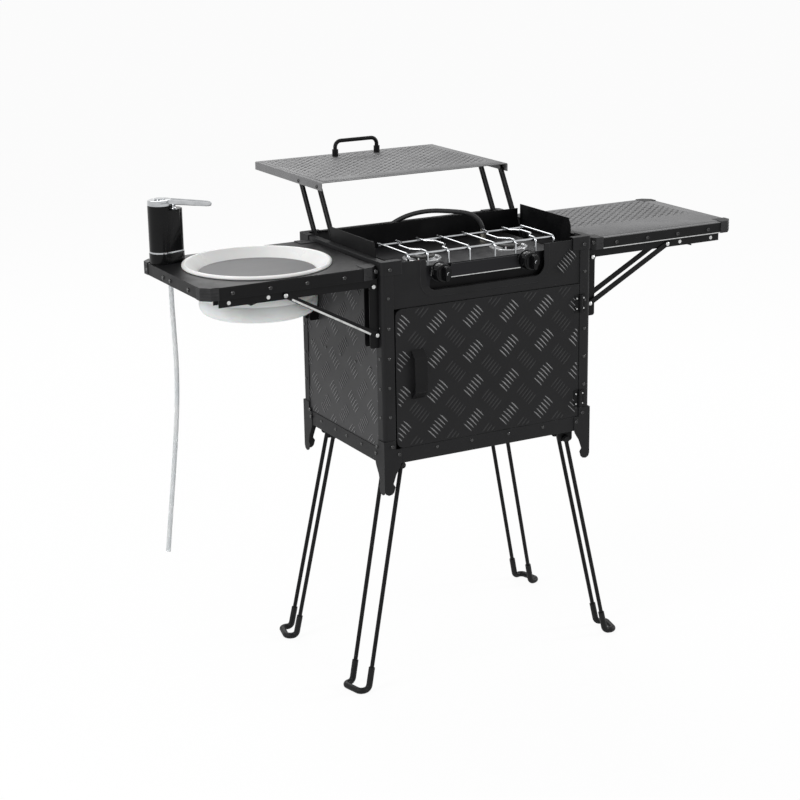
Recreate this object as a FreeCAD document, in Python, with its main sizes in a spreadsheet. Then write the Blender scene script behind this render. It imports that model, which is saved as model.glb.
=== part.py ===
"""A folding camping kitchen: a steel cabinet on four folding hairpin legs, with a two-burner
stove in its top, a lid shelf on swinging arms, a folding worktop on each side, a collapsible
basin and an electric tap.

X runs to the right along the front, Y to the back, Z up; the origin is on the floor under the
middle of the whole object. Millimetres. Every place below is first counted from the middle of
the cabinet, and each sub-part's Placement then shifts it to the object's own origin.
"""
import FreeCAD, Part
import math
import os
import re
import Sketcher
from FreeCAD import Placement, Rotation, Vector

DOC = FreeCAD.newDocument("CampKitchen")
SHEET = DOC.addObject("Spreadsheet::Sheet", "Sizes")
PLACES = DOC.addObject("App::VarSet", "Places")

X_AXIS, Y_AXIS, Z_AXIS = Vector(1, 0, 0), Vector(0, 1, 0), Vector(0, 0, 1)
PLANE_ACROSS = {"X": "YZ_Plane", "Y": "XZ_Plane", "Z": "XY_Plane"}

# The driving sizes, in millimetres, degrees and counts
SIZES = {
    # Cabinet shell
    "cabinet_width": 450.0,
    "cabinet_depth": 336.0,
    "cabinet_height": 380.0,
    "cabinet_bottom": 440.0,
    "sheet_gauge": 1.5,
    "post_gauge": 1.6,
    "post_wing": 24.0,
    "post_round": 7.0,
    "strip_height": 28.0,
    "strip_foot": 15.0,
    "top_strip_height": 24.0,
    "side_lip": 14.0,
    "back_lip": 10.0,
    "panel_gap": 0.5,
    "floor_lip": 12.0,
    "shelf_level": 613.0,
    "shelf_lip": 15.0,
    "shelf_set_back": 18.0,
    "tray_drop": 64.0,
    "tray_half_width": 197.0,
    "tray_lip": 15.0,
    # Corner plates and claws
    "bracket_gauge": 1.5,
    "bracket_width": 41.0,
    "bracket_height": 23.0,
    "bracket_cap": 12.0,
    "claw_plate_width": 34.0,
    "claw_plate_height": 45.0,
    "claw_drop": 59.0,
    "claw_width": 34.0,
    # Front cover and its stove opening
    "cover_bottom": 732.0,
    "cover_top_gap": 3.0,
    "cover_lip": 12.0,
    "notch_width": 254.0,
    "notch_depth": 60.0,
    "notch_round": 22.0,
    "notch_band": 12.0,
    "band_gauge": 1.0,
    "stove_shift": 6.0,
    # Door
    "door_gap": 0.8,
    "door_left": 198.0,
    "door_right": 199.4,
    "door_round": 14.0,
    "door_hem": 10.0,
    "hinge_x": 201.5,
    "hinge_front": 3.2,
    "hinge_radius": 3.0,
    "hinge_pin_radius": 1.5,
    "pin_clearance": 0.05,
    "hinge_leaf": 11.5,
    "hinge_length": 34.0,
    "hinge_gap": 0.3,
    "upper_hinge_z": 693.0,
    "lower_hinge_z": 504.0,
    "pull_x": 153.5,
    "pull_z": 606.0,
    "pull_width": 26.0,
    "pull_length": 94.0,
    "pull_depth": 15.0,
    "pull_wall": 3.0,
    # Wind shields
    "shield_gauge": 1.2,
    "side_shield_front": 120.0,
    "side_shield_back": 60.0,
    "side_shield_rise": 28.0,
    "side_shield_seat": 20.0,
    "rear_shield_y": 48.0,
    "rear_shield_rise": 23.0,
    "rear_shield_foot": 12.0,
    # Stove
    "stove_width": 320.0,
    "stove_front": 156.0,
    "stove_back": 34.0,
    "stove_top_drop": 18.0,
    "stove_round": 12.0,
    "burner_spread": 94.0,
    "burner_y": 93.0,
    "burner_hole": 30.0,
    "burner_pan_radius": 36.0,
    "burner_pan_rise": 5.0,
    "burner_head_radius": 24.0,
    "burner_rise": 11.0,
    "burner_neck": 9.0,
    "fascia_half_width": 78.0,
    "fascia_height": 24.0,
    "fascia_gauge": 1.2,
    "fascia_stand": 5.0,
    "knob_radius": 17.0,
    "knob_length": 22.0,
    "knob_front": 190.0,
    "knob_drop": 31.0,
    "knob_grip": 9.0,
    "knob_stem": 3.0,
    "bezel_radius": 18.5,
    "manifold_radius": 4.0,
    "valve_radius": 7.0,
    "mixer_radius": 6.0,
    "hose_fitting_radius": 6.0,
    "hose_fitting_length": 12.0,
    "gas_hose_radius": 4.5,
    # Pan support
    "grate_width": 312.0,
    "grate_front": 146.0,
    "grate_back": 42.0,
    "grate_wire": 2.0,
    "grate_rise": 27.0,
    "grate_bend": 8.0,
    "grate_weld": 0.7,
    "seat_gap": 0.3,
    "grate_overhang": 8.0,
    "grate_spread": 22.0,
    "grate_bow": 16.0,
    "grate_straight": 27.0,
    # Folding worktops
    "wing_length": 338.0,
    "wing_width": 286.0,
    "wing_gap": 3.0,
    "wing_drop": 7.0,
    "wing_thickness": 22.0,
    "wing_set_forward": 19.0,
    "wing_corner": 14.0,
    "wing_wall": 2.0,
    "wing_lip": 8.0,
    "wing_top_gauge": 1.5,
    "guard_reach": 29.0,
    "guard_proud": 1.2,
    # Folding brackets under the worktops
    "stay_inset": 18.0,
    "pivot_inset": 8.0,
    "pivot_drop": 14.0,
    "stay_seat": 5.5,
    "stay_drop": 90.0,
    "stay_reach": 174.0,
    "stay_end_drop": 8.0,
    "stay_bar_width": 10.0,
    "stay_bar_gauge": 2.0,
    "rail_gauge": 1.5,
    "wall_rail_half": 10.8,
    "wall_rail_depth": 18.4,
    "wall_rail_bottom": 662.0,
    "wall_rail_top": 785.0,
    "shelf_rail_half": 12.8,
    "shelf_rail_depth": 15.0,
    "shelf_rail_end": 536.0,
    "bar_gap": 0.4,
    "rivet_radius": 3.0,
    "rivet_head": 4.5,
    "rivet_head_height": 1.6,
    "lever_reach": 206.0,
    "lever_length": 32.0,
    "lever_half": 8.0,
    "lever_gauge": 2.5,
    "lever_droop": 12.0,
    # Basin
    "basin_shift": 3.0,
    "basin_margin": 7.0,
    "basin_rim_rise": 6.0,
    "basin_lip": 7.0,
    "basin_wall": 2.0,
    "basin_flange": 8.0,
    "basin_slope": 20.0,
    "basin_skirt_round": 16.0,
    "basin_depth": 94.0,
    "basin_floor_drop": 17.0,
    "basin_floor_lip": 5.0,
    "basin_seat": 6.0,
    # Tap
    "tap_end_inset": 25.0,
    "tap_back_inset": 39.0,
    "tap_turn": 37.0,
    "tap_radius": 22.4,
    "tap_lobe_radius": 15.0,
    "tap_lobe_offset": 27.0,
    "tap_base_height": 19.0,
    "tap_base_proud": 0.8,
    "tap_ring_height": 3.0,
    "tap_ring_proud": 0.5,
    "tap_height": 105.0,
    "tap_lobe_step": 7.0,
    "tap_cap_height": 12.0,
    "spout_reach": 92.0,
    "spout_width": 20.0,
    "spout_tip_width": 15.0,
    "spout_depth": 9.0,
    "spout_fall": 7.0,
    "spout_neck_radius": 4.0,
    "swivel_gap": 0.3,
    "button_radius": 9.0,
    "button_height": 3.0,
    "button_rise": 1.2,
    "nozzle_radius": 4.0,
    "nozzle_length": 9.0,
    "nozzle_offset": 14.0,
    "water_hose_radius": 4.5,
    # Lid shelf
    "lid_half_width": 207.0,
    "lid_depth": 302.0,
    "lid_top": 924.0,
    "lid_gauge": 1.5,
    "lid_flange": 16.0,
    "lid_bend": 2.5,
    "lid_nose": 20.0,
    "lid_pivot_drop": 10.0,
    "arm_spread": 80.0,
    "arm_foot_y": 31.7024,
    "arm_foot_drop": 62.4,
    "arm_lean": 30.0,
    "arm_width": 12.0,
    "arm_gauge": 5.0,
    "arm_gap": 1.0,
    "arm_groove": 5.0,
    "arm_groove_depth": 1.0,
    "arm_pin_radius": 3.0,
    "arm_head_radius": 5.0,
    "arm_head_height": 1.2,
    "arm_boss_radius": 8.0,
    "handle_inset": 36.0,
    "handle_x": 5.0,
    "handle_span": 96.0,
    "handle_rise": 36.0,
    "handle_rod": 4.0,
    "handle_bend": 13.0,
    "handle_collar": 6.3,
    "handle_collar_height": 15.0,
    # Legs
    "leg_x": 188.0,
    "leg_y": 129.0,
    "leg_tilt": 12.0,
    "leg_turn": 13.0,
    "leg_rod": 4.0,
    "leg_spacing": 48.0,
    "leg_high_pivot": 431.0,
    "leg_low_pivot": 421.5,
    "foot_reach": 20.0,
    "foot_bend": 10.0,
    "foot_sleeve": 6.0,
    "foot_sleeve_rise": 42.0,
    "eye_radius": 7.0,
    "eye_width": 8.0,
    "lug_half": 18.0,
    "lug_length": 30.0,
    "lug_gauge": 3.0,
    "lug_margin": 7.0,
    "bolt_radius": 3.0,
    "bolt_head_radius": 5.5,
    "bolt_head_height": 3.0,
    # One overrun serves every cut
    "overrun": 5.0,
}

# Places that follow from the sizes, each a formula
FORMULAS = {
    "half_width": "cabinet_width / 2",
    "half_depth": "cabinet_depth / 2",
    "cabinet_top": "cabinet_bottom + cabinet_height",
    "side_face": "half_width - post_gauge",
    "side_inside": "side_face - sheet_gauge",
    "end_face": "half_depth - post_gauge",
    "end_inside": "end_face - sheet_gauge",
    "panel_end_x": "half_width - post_round - panel_gap",
    "panel_end_y": "half_depth - post_round - panel_gap",
    "post_edge_x": "half_width - post_wing",
    "post_edge_y": "half_depth - post_wing",
    "panel_low": "cabinet_bottom + post_gauge",
    "panel_high": "cabinet_top - post_gauge",
    "strip_top": "cabinet_bottom + strip_height",
    "tray_top": "cabinet_top - tray_drop + sheet_gauge",
    "notch_left": "-stove_shift - notch_width / 2",
    "notch_right": "-stove_shift + notch_width / 2",
    "notch_bottom": "cabinet_top - notch_depth - cover_top_gap + panel_gap",
    "cover_top": "cabinet_top - cover_top_gap",
    "hinge_y": "-half_depth - hinge_front",
    "shield_outside": "half_width - side_lip",
    "shield_inside": "shield_outside - shield_gauge",
    "stove_top": "cabinet_top - stove_top_drop",
    "left_burner_x": "-stove_shift - burner_spread",
    "right_burner_x": "-stove_shift + burner_spread",
    "knob_z": "cabinet_top - knob_drop",
    "grate_z": "stove_top + grate_rise",
    "wing_inner": "half_width + wing_gap",
    "wing_outer": "wing_inner + wing_length",
    "wing_top": "cabinet_top - wing_drop",
    "wing_under": "wing_top - wing_thickness",
    "wing_front": "-wing_set_forward - wing_width / 2",
    "wing_back": "-wing_set_forward + wing_width / 2",
    "stay_front_y": "wing_front + stay_inset",
    "stay_back_y": "wing_back - stay_inset",
    "pivot_x": "wing_inner + pivot_inset",
    "pivot_z": "wing_under - pivot_drop",
    "stay_x": "half_width + stay_seat",
    "stay_z": "pivot_z - stay_drop",
    "stay_end_x": "pivot_x + stay_reach",
    "stay_end_z": "wing_under - stay_end_drop",
    "stay_length": "sqrt((stay_end_x - stay_x)^2 + (stay_end_z - stay_z)^2)",
    "stay_angle": "atan((stay_end_z - stay_z) / (stay_end_x - stay_x)) / 1 deg",
    "wall_rail_front": "half_width + wall_rail_depth",
    "lever_x": "pivot_x + lever_reach",
    "lever_z": "wing_under - rail_gauge - lever_gauge - rivet_radius - panel_gap",
    "basin_x": "wing_inner + wing_length / 2 + basin_shift",
    "basin_y": "-wing_set_forward",
    "basin_rim_radius": "wing_width / 2 - basin_margin",
    "basin_hole": "basin_rim_radius - basin_flange",
    "basin_throat": "basin_hole - basin_slope",
    "tap_x": "wing_outer - tap_end_inset",
    "tap_y": "wing_back - tap_back_inset",
    "basin_top": "wing_top + basin_rim_rise",
    "basin_floor": "basin_top - basin_floor_drop",
    "tap_base_top": "wing_top + tap_base_height",
    "tap_ring_top": "tap_base_top + tap_ring_height",
    "tap_top": "wing_top + tap_height",
    "lid_under": "lid_top - lid_gauge",
    "lid_pivot_z": "lid_top - lid_pivot_drop",
    "arm_foot_z": "cabinet_top - arm_foot_drop",
    "arm_length": "(lid_pivot_z - arm_foot_z) / cos(arm_lean)",
    "lid_pivot_y": "arm_foot_y + arm_length * sin(arm_lean)",
    "lid_front": "lid_pivot_y - lid_nose",
    "lid_back": "lid_front + lid_depth",
    "handle_y": "lid_back - handle_inset",
    "lid_inside": "lid_half_width - lid_gauge",
    "arm_outside": "lid_inside - arm_gap",
    "arm_inside": "arm_outside - arm_gauge",
    "middle_y": "(lid_back - knob_front) / 2",
}


def point_at_owner(formula):
    """A formula in which every size and place is named with the object that holds it."""
    def owned(match):
        word = match.group(0)
        if word in SIZES:
            return "Sizes." + word
        if word in FORMULAS or word == "measured":
            return "Places." + word
        return word
    return re.sub(r"[a-z][a-z_]*", owned, formula)


def fill_sheet():
    """Write each driving size to its own cell, and each worked-out place to its own property."""
    for row, (name, value) in enumerate(SIZES.items(), start=1):
        SHEET.set("A%d" % row, name)
        SHEET.set("B%d" % row, str(value))
        SHEET.setAlias("B%d" % row, name)
    DOC.recompute()
    for name, formula in FORMULAS.items():
        PLACES.addProperty("App::PropertyFloat", name, "Places", formula)
        PLACES.setExpression(name, point_at_owner(formula))
    PLACES.addProperty("App::PropertyFloat", "measured", "Places", "Last formula measured")
    DOC.recompute()


def measure(formula):
    """The value of a formula of named sizes and places, as a plain number."""
    PLACES.setExpression("measured", point_at_owner(formula))
    PLACES.recompute()
    return PLACES.measured


def at(x, y, z):
    """A point whose three places are formulas."""
    return Vector(measure(x), measure(y), measure(z))


# Helpers for padded bodies

def new_body(name):
    return DOC.addObject("PartDesign::Body", name)


def origin_feature(body, role):
    for feature in body.Origin.OriginFeatures:
        if feature.Role == role:
            return feature
    raise ValueError("The body has no " + role)


def draw(body, axis, outlines, level):
    """A sketch across an axis, at a level along it. Each corner of an outline is two formulas."""
    sketch = body.newObject("Sketcher::SketchObject", body.Name + "Outline")
    sketch.AttachmentSupport = [(origin_feature(body, PLANE_ACROSS[axis]), "")]
    sketch.MapMode = "FlatFace"
    sketch.setExpression("AttachmentOffset.Base.z", point_at_owner(level))
    for outline in outlines:
        if outline[0] == "circle":
            draw_circle(sketch, *outline[1:])
        else:
            draw_polygon(sketch, outline)
    return sketch


def fix_place(sketch, kind, element, end, formula):
    number = sketch.addConstraint(
        Sketcher.Constraint(kind, -1, 1, element, end, measure(formula)))
    sketch.setExpression("Constraints[%d]" % number, point_at_owner(formula))


def draw_polygon(sketch, corners):
    places = [Vector(measure(u), measure(v), 0) for u, v in corners]
    first = sketch.GeometryCount
    count = len(corners)
    for index in range(count):
        sketch.addGeometry(Part.LineSegment(places[index], places[(index + 1) % count]), False)
    for index in range(count):
        following = first + (index + 1) % count
        sketch.addConstraint(Sketcher.Constraint("Coincident", first + index, 2, following, 1))
    for index, (u, v) in enumerate(corners):
        fix_place(sketch, "DistanceX", first + index, 1, u)
        fix_place(sketch, "DistanceY", first + index, 1, v)


def draw_circle(sketch, u, v, radius):
    centre = Vector(measure(u), measure(v), 0)
    circle = sketch.addGeometry(Part.Circle(centre, Z_AXIS, measure(radius)), False)
    fix_place(sketch, "DistanceX", circle, 3, u)
    fix_place(sketch, "DistanceY", circle, 3, v)
    number = sketch.addConstraint(Sketcher.Constraint("Radius", circle, measure(radius)))
    sketch.setExpression("Constraints[%d]" % number, point_at_owner(radius))


def pad(body, axis, outlines, start, end):
    """Material along an axis between two levels."""
    level = "-(%s)" % end if axis == "Y" else start
    feature = body.newObject("PartDesign::Pad", body.Name + "Pad")
    feature.Profile = draw(body, axis, outlines, level)
    feature.setExpression("Length", point_at_owner("(%s) - (%s)" % (end, start)))
    body.Tip = feature
    return feature


CUTS = []


def cut(body, axis, outlines, start, end):
    """A pocket along an axis between two levels, listed so that its volume is checked."""
    level = "-(%s)" % start if axis == "Y" else end
    before = body.Tip
    feature = body.newObject("PartDesign::Pocket", body.Name + "Pocket")
    feature.Profile = draw(body, axis, outlines, level)
    feature.setExpression("Length", point_at_owner("(%s) - (%s)" % (end, start)))
    body.Tip = feature
    CUTS.append((before, feature))
    return feature


def revolve(body, outline):
    """A solid turned about Z. Each corner of the outline is a radius and a height."""
    sketch = draw(body, "Y", [outline], "0")
    feature = body.newObject("PartDesign::Revolution", body.Name + "Turned")
    feature.Profile = sketch
    feature.ReferenceAxis = (sketch, ["V_Axis"])
    feature.Angle = 360
    body.Tip = feature
    return feature


def round_edges(body, radius, chosen):
    """Round the straight edges of the body that the test picks by direction and middle."""
    DOC.recompute()
    base = body.Tip
    names = []
    for number, edge in enumerate(base.Shape.Edges, start=1):
        if len(edge.Vertexes) == 2 and edge.Curve.TypeId == "Part::GeomLine":
            if chosen(edge.Curve.Direction, edge.CenterOfMass):
                names.append("Edge%d" % number)
    feature = body.newObject("PartDesign::Fillet", body.Name + "Round")
    feature.Base = (base, names)
    feature.setExpression("Radius", point_at_owner(radius))
    body.Tip = feature
    return feature


def along(direction, axis):
    return abs(direction.dot(axis)) > 0.999


def near(value, formula):
    """True where a value is the place that a formula gives."""
    return math.isclose(value, measure(formula), rel_tol=1e-6, abs_tol=1e-4)


def rectangle(left, right, low, high):
    return [(left, low), (right, low), (right, high), (left, high)]


def opposite(formula):
    return "-(%s)" % formula


# Helpers for primitives, groups and mirrored pieces

def block(name, x, y, z):
    """A plain block between two places along each axis."""
    box = DOC.addObject("Part::Box", name)
    for prop, (start, end) in (("Length", x), ("Width", y), ("Height", z)):
        box.setExpression(prop, point_at_owner("(%s) - (%s)" % (end, start)))
    for prop, (start, _end) in (("x", x), ("y", y), ("z", z)):
        box.setExpression("Placement.Base." + prop, point_at_owner(start))
    return box


TURNS = {
    "X": Rotation(Y_AXIS, 90),
    "Y": Rotation(X_AXIS, -90),
    "Z": Rotation(),
}


def rod(name, axis, radius, start, end, centre):
    """A cylinder along an axis between two levels. The centre is its place on the other axes."""
    cylinder = DOC.addObject("Part::Cylinder", name)
    cylinder.setExpression("Radius", point_at_owner(radius))
    cylinder.setExpression("Height", point_at_owner("(%s) - (%s)" % (end, start)))
    places = {"X": (start,) + centre, "Y": (centre[0], start, centre[1]), "Z": centre + (start,)}
    cylinder.Placement = Placement(Vector(), TURNS[axis])
    for prop, formula in zip("xyz", places[axis]):
        cylinder.setExpression("Placement.Base." + prop, point_at_owner(formula))
    return cylinder


def join(name, pieces):
    fused = DOC.addObject("Part::MultiFuse", name)
    fused.Shapes = pieces
    fused.Refine = True
    return fused


def subtract(name, base, tool):
    result = DOC.addObject("Part::Cut", name)
    result.Base = base
    result.Tool = tool
    result.Refine = True
    return result


def mirrored(source, normal):
    """The same piece on the other side of the cabinet's middle."""
    copy = DOC.addObject("Part::Mirroring", source.Name + "Mirror")
    copy.Source = source
    copy.Base = Vector()
    copy.Normal = normal
    return copy


def four_corners(source):
    """A piece and its three mirror images about the cabinet's middle."""
    beside = mirrored(source, X_AXIS)
    return [source, beside, mirrored(source, Y_AXIS), mirrored(beside, Y_AXIS)]


SUBPARTS = []


def subpart(label, pieces):
    """One named node: its pieces as a group, shifted from the cabinet's middle to the origin."""
    group = DOC.addObject("Part::Compound", "Node" + label.title().replace("_", ""))
    group.Links = pieces
    group.Label = label
    group.setExpression("Placement.Base.y", point_at_owner("-middle_y"))
    SUBPARTS.append(group)
    return group


# Helpers for bent wire and tube

def rounded_path(points, radii):
    """Straight runs between points, joined by tangent arcs of the given radii."""
    edges = []
    start = points[0]
    for before, corner, after, radius in zip(points, points[1:], points[2:], radii):
        incoming = (corner - before).normalize()
        outgoing = (after - corner).normalize()
        half_turn = incoming.getAngle(outgoing) / 2
        reach = radius * math.tan(half_turn)
        enter = corner - incoming * reach
        leave = corner + outgoing * reach
        inward = (outgoing - incoming).normalize()
        middle = corner + inward * (radius / math.cos(half_turn) - radius)
        edges.append(Part.LineSegment(start, enter).toShape())
        edges.append(Part.Arc(enter, middle, leave).toShape())
        start = leave
    edges.append(Part.LineSegment(start, points[-1]).toShape())
    return Part.Wire(edges)


def swept(path, radius):
    """A round wire or tube along a path."""
    start = path.OrderedEdges[0].valueAt(path.OrderedEdges[0].FirstParameter)
    heading = path.OrderedEdges[0].tangentAt(path.OrderedEdges[0].FirstParameter)
    section = Part.Wire(Part.Circle(start, heading, radius).toShape())
    return path.makePipeShell([section], True, False)


def loose_tube(name, points, radius):
    """A hose through its points, with arcs as large as its runs allow. Prints its radii."""
    radii = []
    for before, corner, after in zip(points, points[1:], points[2:]):
        turn = (corner - before).getAngle(after - corner)
        shorter = min((corner - before).Length, (after - corner).Length)
        radii.append(0.45 * shorter / math.tan(turn / 2))
    path = rounded_path(points, radii)
    solid = swept(path, radius)
    expected = math.pi * radius ** 2 * path.Length
    print("%s: length %.1f, least radius %.1f, volume over section x length %.4f"
          % (name, path.Length, min(radii), solid.Volume / expected))
    print("  radii: " + ", ".join("%.0f" % value for value in radii))
    return solid


def formed(name, shape):
    """A piece made with the shape functions, because no padded or turned form makes it."""
    feature = DOC.addObject("Part::Feature", name)
    feature.Shape = shape
    return feature


# Cabinet shell

def corner_posts():
    body = new_body("CornerPost")
    pad(body, "Z", [[
        ("half_width", "-half_depth"),
        ("half_width", "-post_edge_y"),
        ("side_face", "-post_edge_y"),
        ("side_face", "-end_face"),
        ("post_edge_x", "-end_face"),
        ("post_edge_x", "-half_depth"),
    ]], "cabinet_bottom", "cabinet_top")
    round_edges(body, "post_round - post_gauge", lambda way, middle: along(way, Z_AXIS)
                and near(middle.x, "side_face") and near(middle.y, "-end_face"))
    round_edges(body, "post_round", lambda way, middle: along(way, Z_AXIS)
                and near(middle.x, "half_width") and near(middle.y, "-half_depth"))
    subpart("corner_posts", four_corners(body))


def angle_strip(name, axis, outer, foot, low, high, reach, foot_at_top):
    """An L strip along one edge of the cabinet: a standing wall and a foot turned inwards."""
    wall_inner = "(%s) - post_gauge" % outer
    foot_inner = "(%s) - (%s)" % (outer, foot)
    outline = [
        (outer, low), (outer, high), (wall_inner, high),
        (wall_inner, "(%s) + post_gauge" % low), (foot_inner, "(%s) + post_gauge" % low),
        (foot_inner, low),
    ]
    if foot_at_top:
        outline = [
            (outer, high), (outer, low), (wall_inner, low),
            (wall_inner, "(%s) - post_gauge" % high), (foot_inner, "(%s) - post_gauge" % high),
            (foot_inner, high),
        ]
    body = new_body(name)
    pad(body, axis, [outline], opposite(reach), reach)
    return body


def edge_rails():
    side = angle_strip("SideStrip", "Y", "half_width", "strip_foot",
                       "cabinet_bottom", "strip_top", "post_edge_y", False)
    back = angle_strip("EndStrip", "X", "half_depth", "strip_foot",
                       "cabinet_bottom", "strip_top", "post_edge_x", False)
    top_low = "cabinet_top - top_strip_height"
    top_side = angle_strip("TopSideStrip", "Y", "half_width", "side_lip",
                           top_low, "cabinet_top", "post_edge_y", True)
    top_back = angle_strip("TopBackStrip", "X", "half_depth", "back_lip",
                           top_low, "cabinet_top", "post_edge_x", True)
    subpart("edge_rails", [side, mirrored(side, X_AXIS), back, mirrored(back, Y_AXIS),
                           top_side, mirrored(top_side, X_AXIS), top_back])


def floor_panel():
    body = new_body("FloorPanel")
    pad(body, "Z", [rectangle("-side_inside + panel_gap", "side_inside - panel_gap",
                              "-end_inside + panel_gap", "end_inside - panel_gap")],
        "panel_low", "panel_low + floor_lip")
    inner = "side_inside - panel_gap - sheet_gauge"
    inner_y = "end_inside - panel_gap - sheet_gauge"
    cut(body, "Z", [rectangle(opposite(inner), inner, opposite(inner_y), inner_y)],
        "panel_low + sheet_gauge", "panel_low + floor_lip + overrun")
    subpart("floor_panel", [body])


def side_panels():
    body = new_body("SidePanel")
    pad(body, "X", [rectangle("-panel_end_y", "panel_end_y", "panel_low", "panel_high")],
        "side_inside", "side_face")
    subpart("right_side_panel", [body])
    subpart("left_side_panel", [mirrored(body, X_AXIS)])


def back_panel():
    body = new_body("BackPanel")
    pad(body, "Y", [rectangle("-panel_end_x", "panel_end_x", "panel_low", "panel_high")],
        "end_inside", "end_face")
    subpart("back_panel", [body])


def front_cover():
    """The cover over the stove: its notch, the band round the notch and its lower lip."""
    cover = new_body("FrontCover")
    pad(cover, "Y", [rectangle("-panel_end_x", "panel_end_x", "cover_bottom", "cover_top")],
        "-end_face", "-end_inside")
    band_low = "notch_bottom - notch_band"
    pad(cover, "Y", [rectangle("notch_left - notch_band", "notch_right + notch_band",
                               band_low, "cover_top")],
        "-end_face - band_gauge", "-end_face")
    round_edges(cover, "notch_round + notch_band", lambda way, middle: (
        along(way, Y_AXIS) and near(middle.z, band_low)
        and (near(middle.x, "notch_left - notch_band")
             or near(middle.x, "notch_right + notch_band"))))
    cut(cover, "Y", [rectangle("notch_left", "notch_right", "notch_bottom",
                               "cover_top + overrun")],
        "-end_face - band_gauge - overrun", "-end_inside + overrun")
    round_edges(cover, "notch_round", lambda way, middle: (
        along(way, Y_AXIS) and near(middle.z, "notch_bottom")
        and (near(middle.x, "notch_left") or near(middle.x, "notch_right"))))
    pad(cover, "X", [rectangle("-end_inside", "-end_inside + cover_lip",
                               "cover_bottom", "cover_bottom + sheet_gauge")],
        "-post_edge_x", "post_edge_x")
    subpart("front_cover", [cover])


def middle_shelf():
    body = new_body("MiddleShelf")
    inner = "side_inside - sheet_gauge"
    low = "shelf_level - shelf_lip"
    pad(body, "Y", [[
        ("-side_inside", low), (opposite(inner), low), (opposite(inner), "shelf_level"),
        (inner, "shelf_level"), (inner, low), ("side_inside", low),
        ("side_inside", "shelf_level + sheet_gauge"),
        ("-side_inside", "shelf_level + sheet_gauge"),
    ]], "-half_depth + shelf_set_back", "end_inside")
    subpart("middle_shelf", [body])


def stove_tray():
    body = new_body("StoveTray")
    inner = "end_inside - sheet_gauge"
    low = "tray_top - tray_lip"
    under = "tray_top - sheet_gauge"
    pad(body, "X", [[
        ("-end_inside", low), (opposite(inner), low), (opposite(inner), under),
        (inner, under), (inner, low), ("end_inside", low),
        ("end_inside", "tray_top"), ("-end_inside", "tray_top"),
    ]], "-tray_half_width", "tray_half_width")
    subpart("stove_tray", [body])


def corner_brackets():
    """The pressed brackets over the cabinet's four top corners."""
    body = new_body("CornerBracket")
    face_x, face_y = "half_width + bracket_gauge", "half_depth + bracket_gauge"
    low, high = "cabinet_top - bracket_height", "cabinet_top + bracket_gauge"
    far_x, far_y = "half_width - bracket_width", "half_depth - bracket_width"
    pad(body, "Z", [[
        (face_x, opposite(face_y)), (face_x, opposite(far_y)), ("half_width", opposite(far_y)),
        ("half_width", "-half_depth"), (far_x, "-half_depth"), (far_x, opposite(face_y)),
    ]], low, "cabinet_top")
    round_edges(body, "post_round", lambda way, middle: along(way, Z_AXIS)
                and near(middle.x, "half_width") and near(middle.y, "-half_depth"))
    pad(body, "Z", [[
        (face_x, opposite(face_y)), (face_x, opposite(far_y)),
        ("half_width - bracket_cap", opposite(far_y)),
        ("half_width - bracket_cap", "-half_depth + bracket_cap"),
        (far_x, "-half_depth + bracket_cap"), (far_x, opposite(face_y)),
    ]], "cabinet_top", high)
    round_edges(body, "post_round + bracket_gauge", lambda way, middle: along(way, Z_AXIS)
                and near(middle.x, face_x) and near(middle.y, opposite(face_y)))
    subpart("corner_brackets", four_corners(body))


def claw_outline(outer, inner, sign):
    """Half of a corner claw, seen square on: a plate that runs down to a hooked tip."""
    def place(share, drop_share):
        across = "%s(%s) %s claw_width * %s" % (sign, outer, "-" if sign == "" else "+", share)
        return across, "cabinet_bottom - claw_drop * %s" % drop_share
    top = "cabinet_bottom + claw_plate_height"
    edge = "%s(%s)" % (sign, outer)
    plate_edge = "%s(%s)" % (sign, inner)
    post_edge = "%s(%s + claw_plate_width - post_wing + door_gap)" % (sign, inner)
    step = "strip_top - panel_gap"
    hook_shares = ((0.98, 0.10), (0.72, 0.34), (0.54, 0.64), (0.66, 0.75), (0.57, 0.92),
                   (0.45, 0.98), (0.25, 1.00), (0.08, 0.95), (0.00, 0.84))
    return ([(edge, top), (post_edge, top), (post_edge, step), (plate_edge, step),
             (plate_edge, "cabinet_bottom")]
            + [place(share, drop_share) for share, drop_share in hook_shares])


def corner_claws():
    """Corner plates that wrap each bottom corner and end in a claw to stand on when folded."""
    face_x, face_y = "half_width + bracket_gauge", "half_depth + bracket_gauge"
    front = new_body("ClawFront")
    pad(front, "Y", [claw_outline(face_x, "half_width - claw_plate_width", "")],
        opposite(face_y), "-half_depth")
    side = new_body("ClawSide")
    pad(side, "X", [claw_outline(face_y, "half_depth - claw_plate_width", "-")],
        "half_width", face_x)
    claw = join("CornerClaw", [front, side])
    subpart("corner_claws", four_corners(claw))


# Door and its hinges

def door_panel():
    body = new_body("DoorPanel")
    low, high = "strip_top + door_gap", "cover_bottom - door_gap"
    face, inner = "-half_depth", "-half_depth + sheet_gauge + door_hem"
    pad(body, "Y", [rectangle("-door_left", "door_right", low, high)], face, inner)
    round_edges(body, "door_round", lambda way, middle: along(way, Y_AXIS)
                and near(middle.x, "-door_left"))
    cut(body, "Y", [rectangle("-door_left + door_round / 2", "door_right - sheet_gauge",
                              "(%s) + sheet_gauge" % low, "(%s) - sheet_gauge" % high)],
        "-half_depth + sheet_gauge", inner + " + overrun")
    subpart("door_panel", [body])


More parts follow.
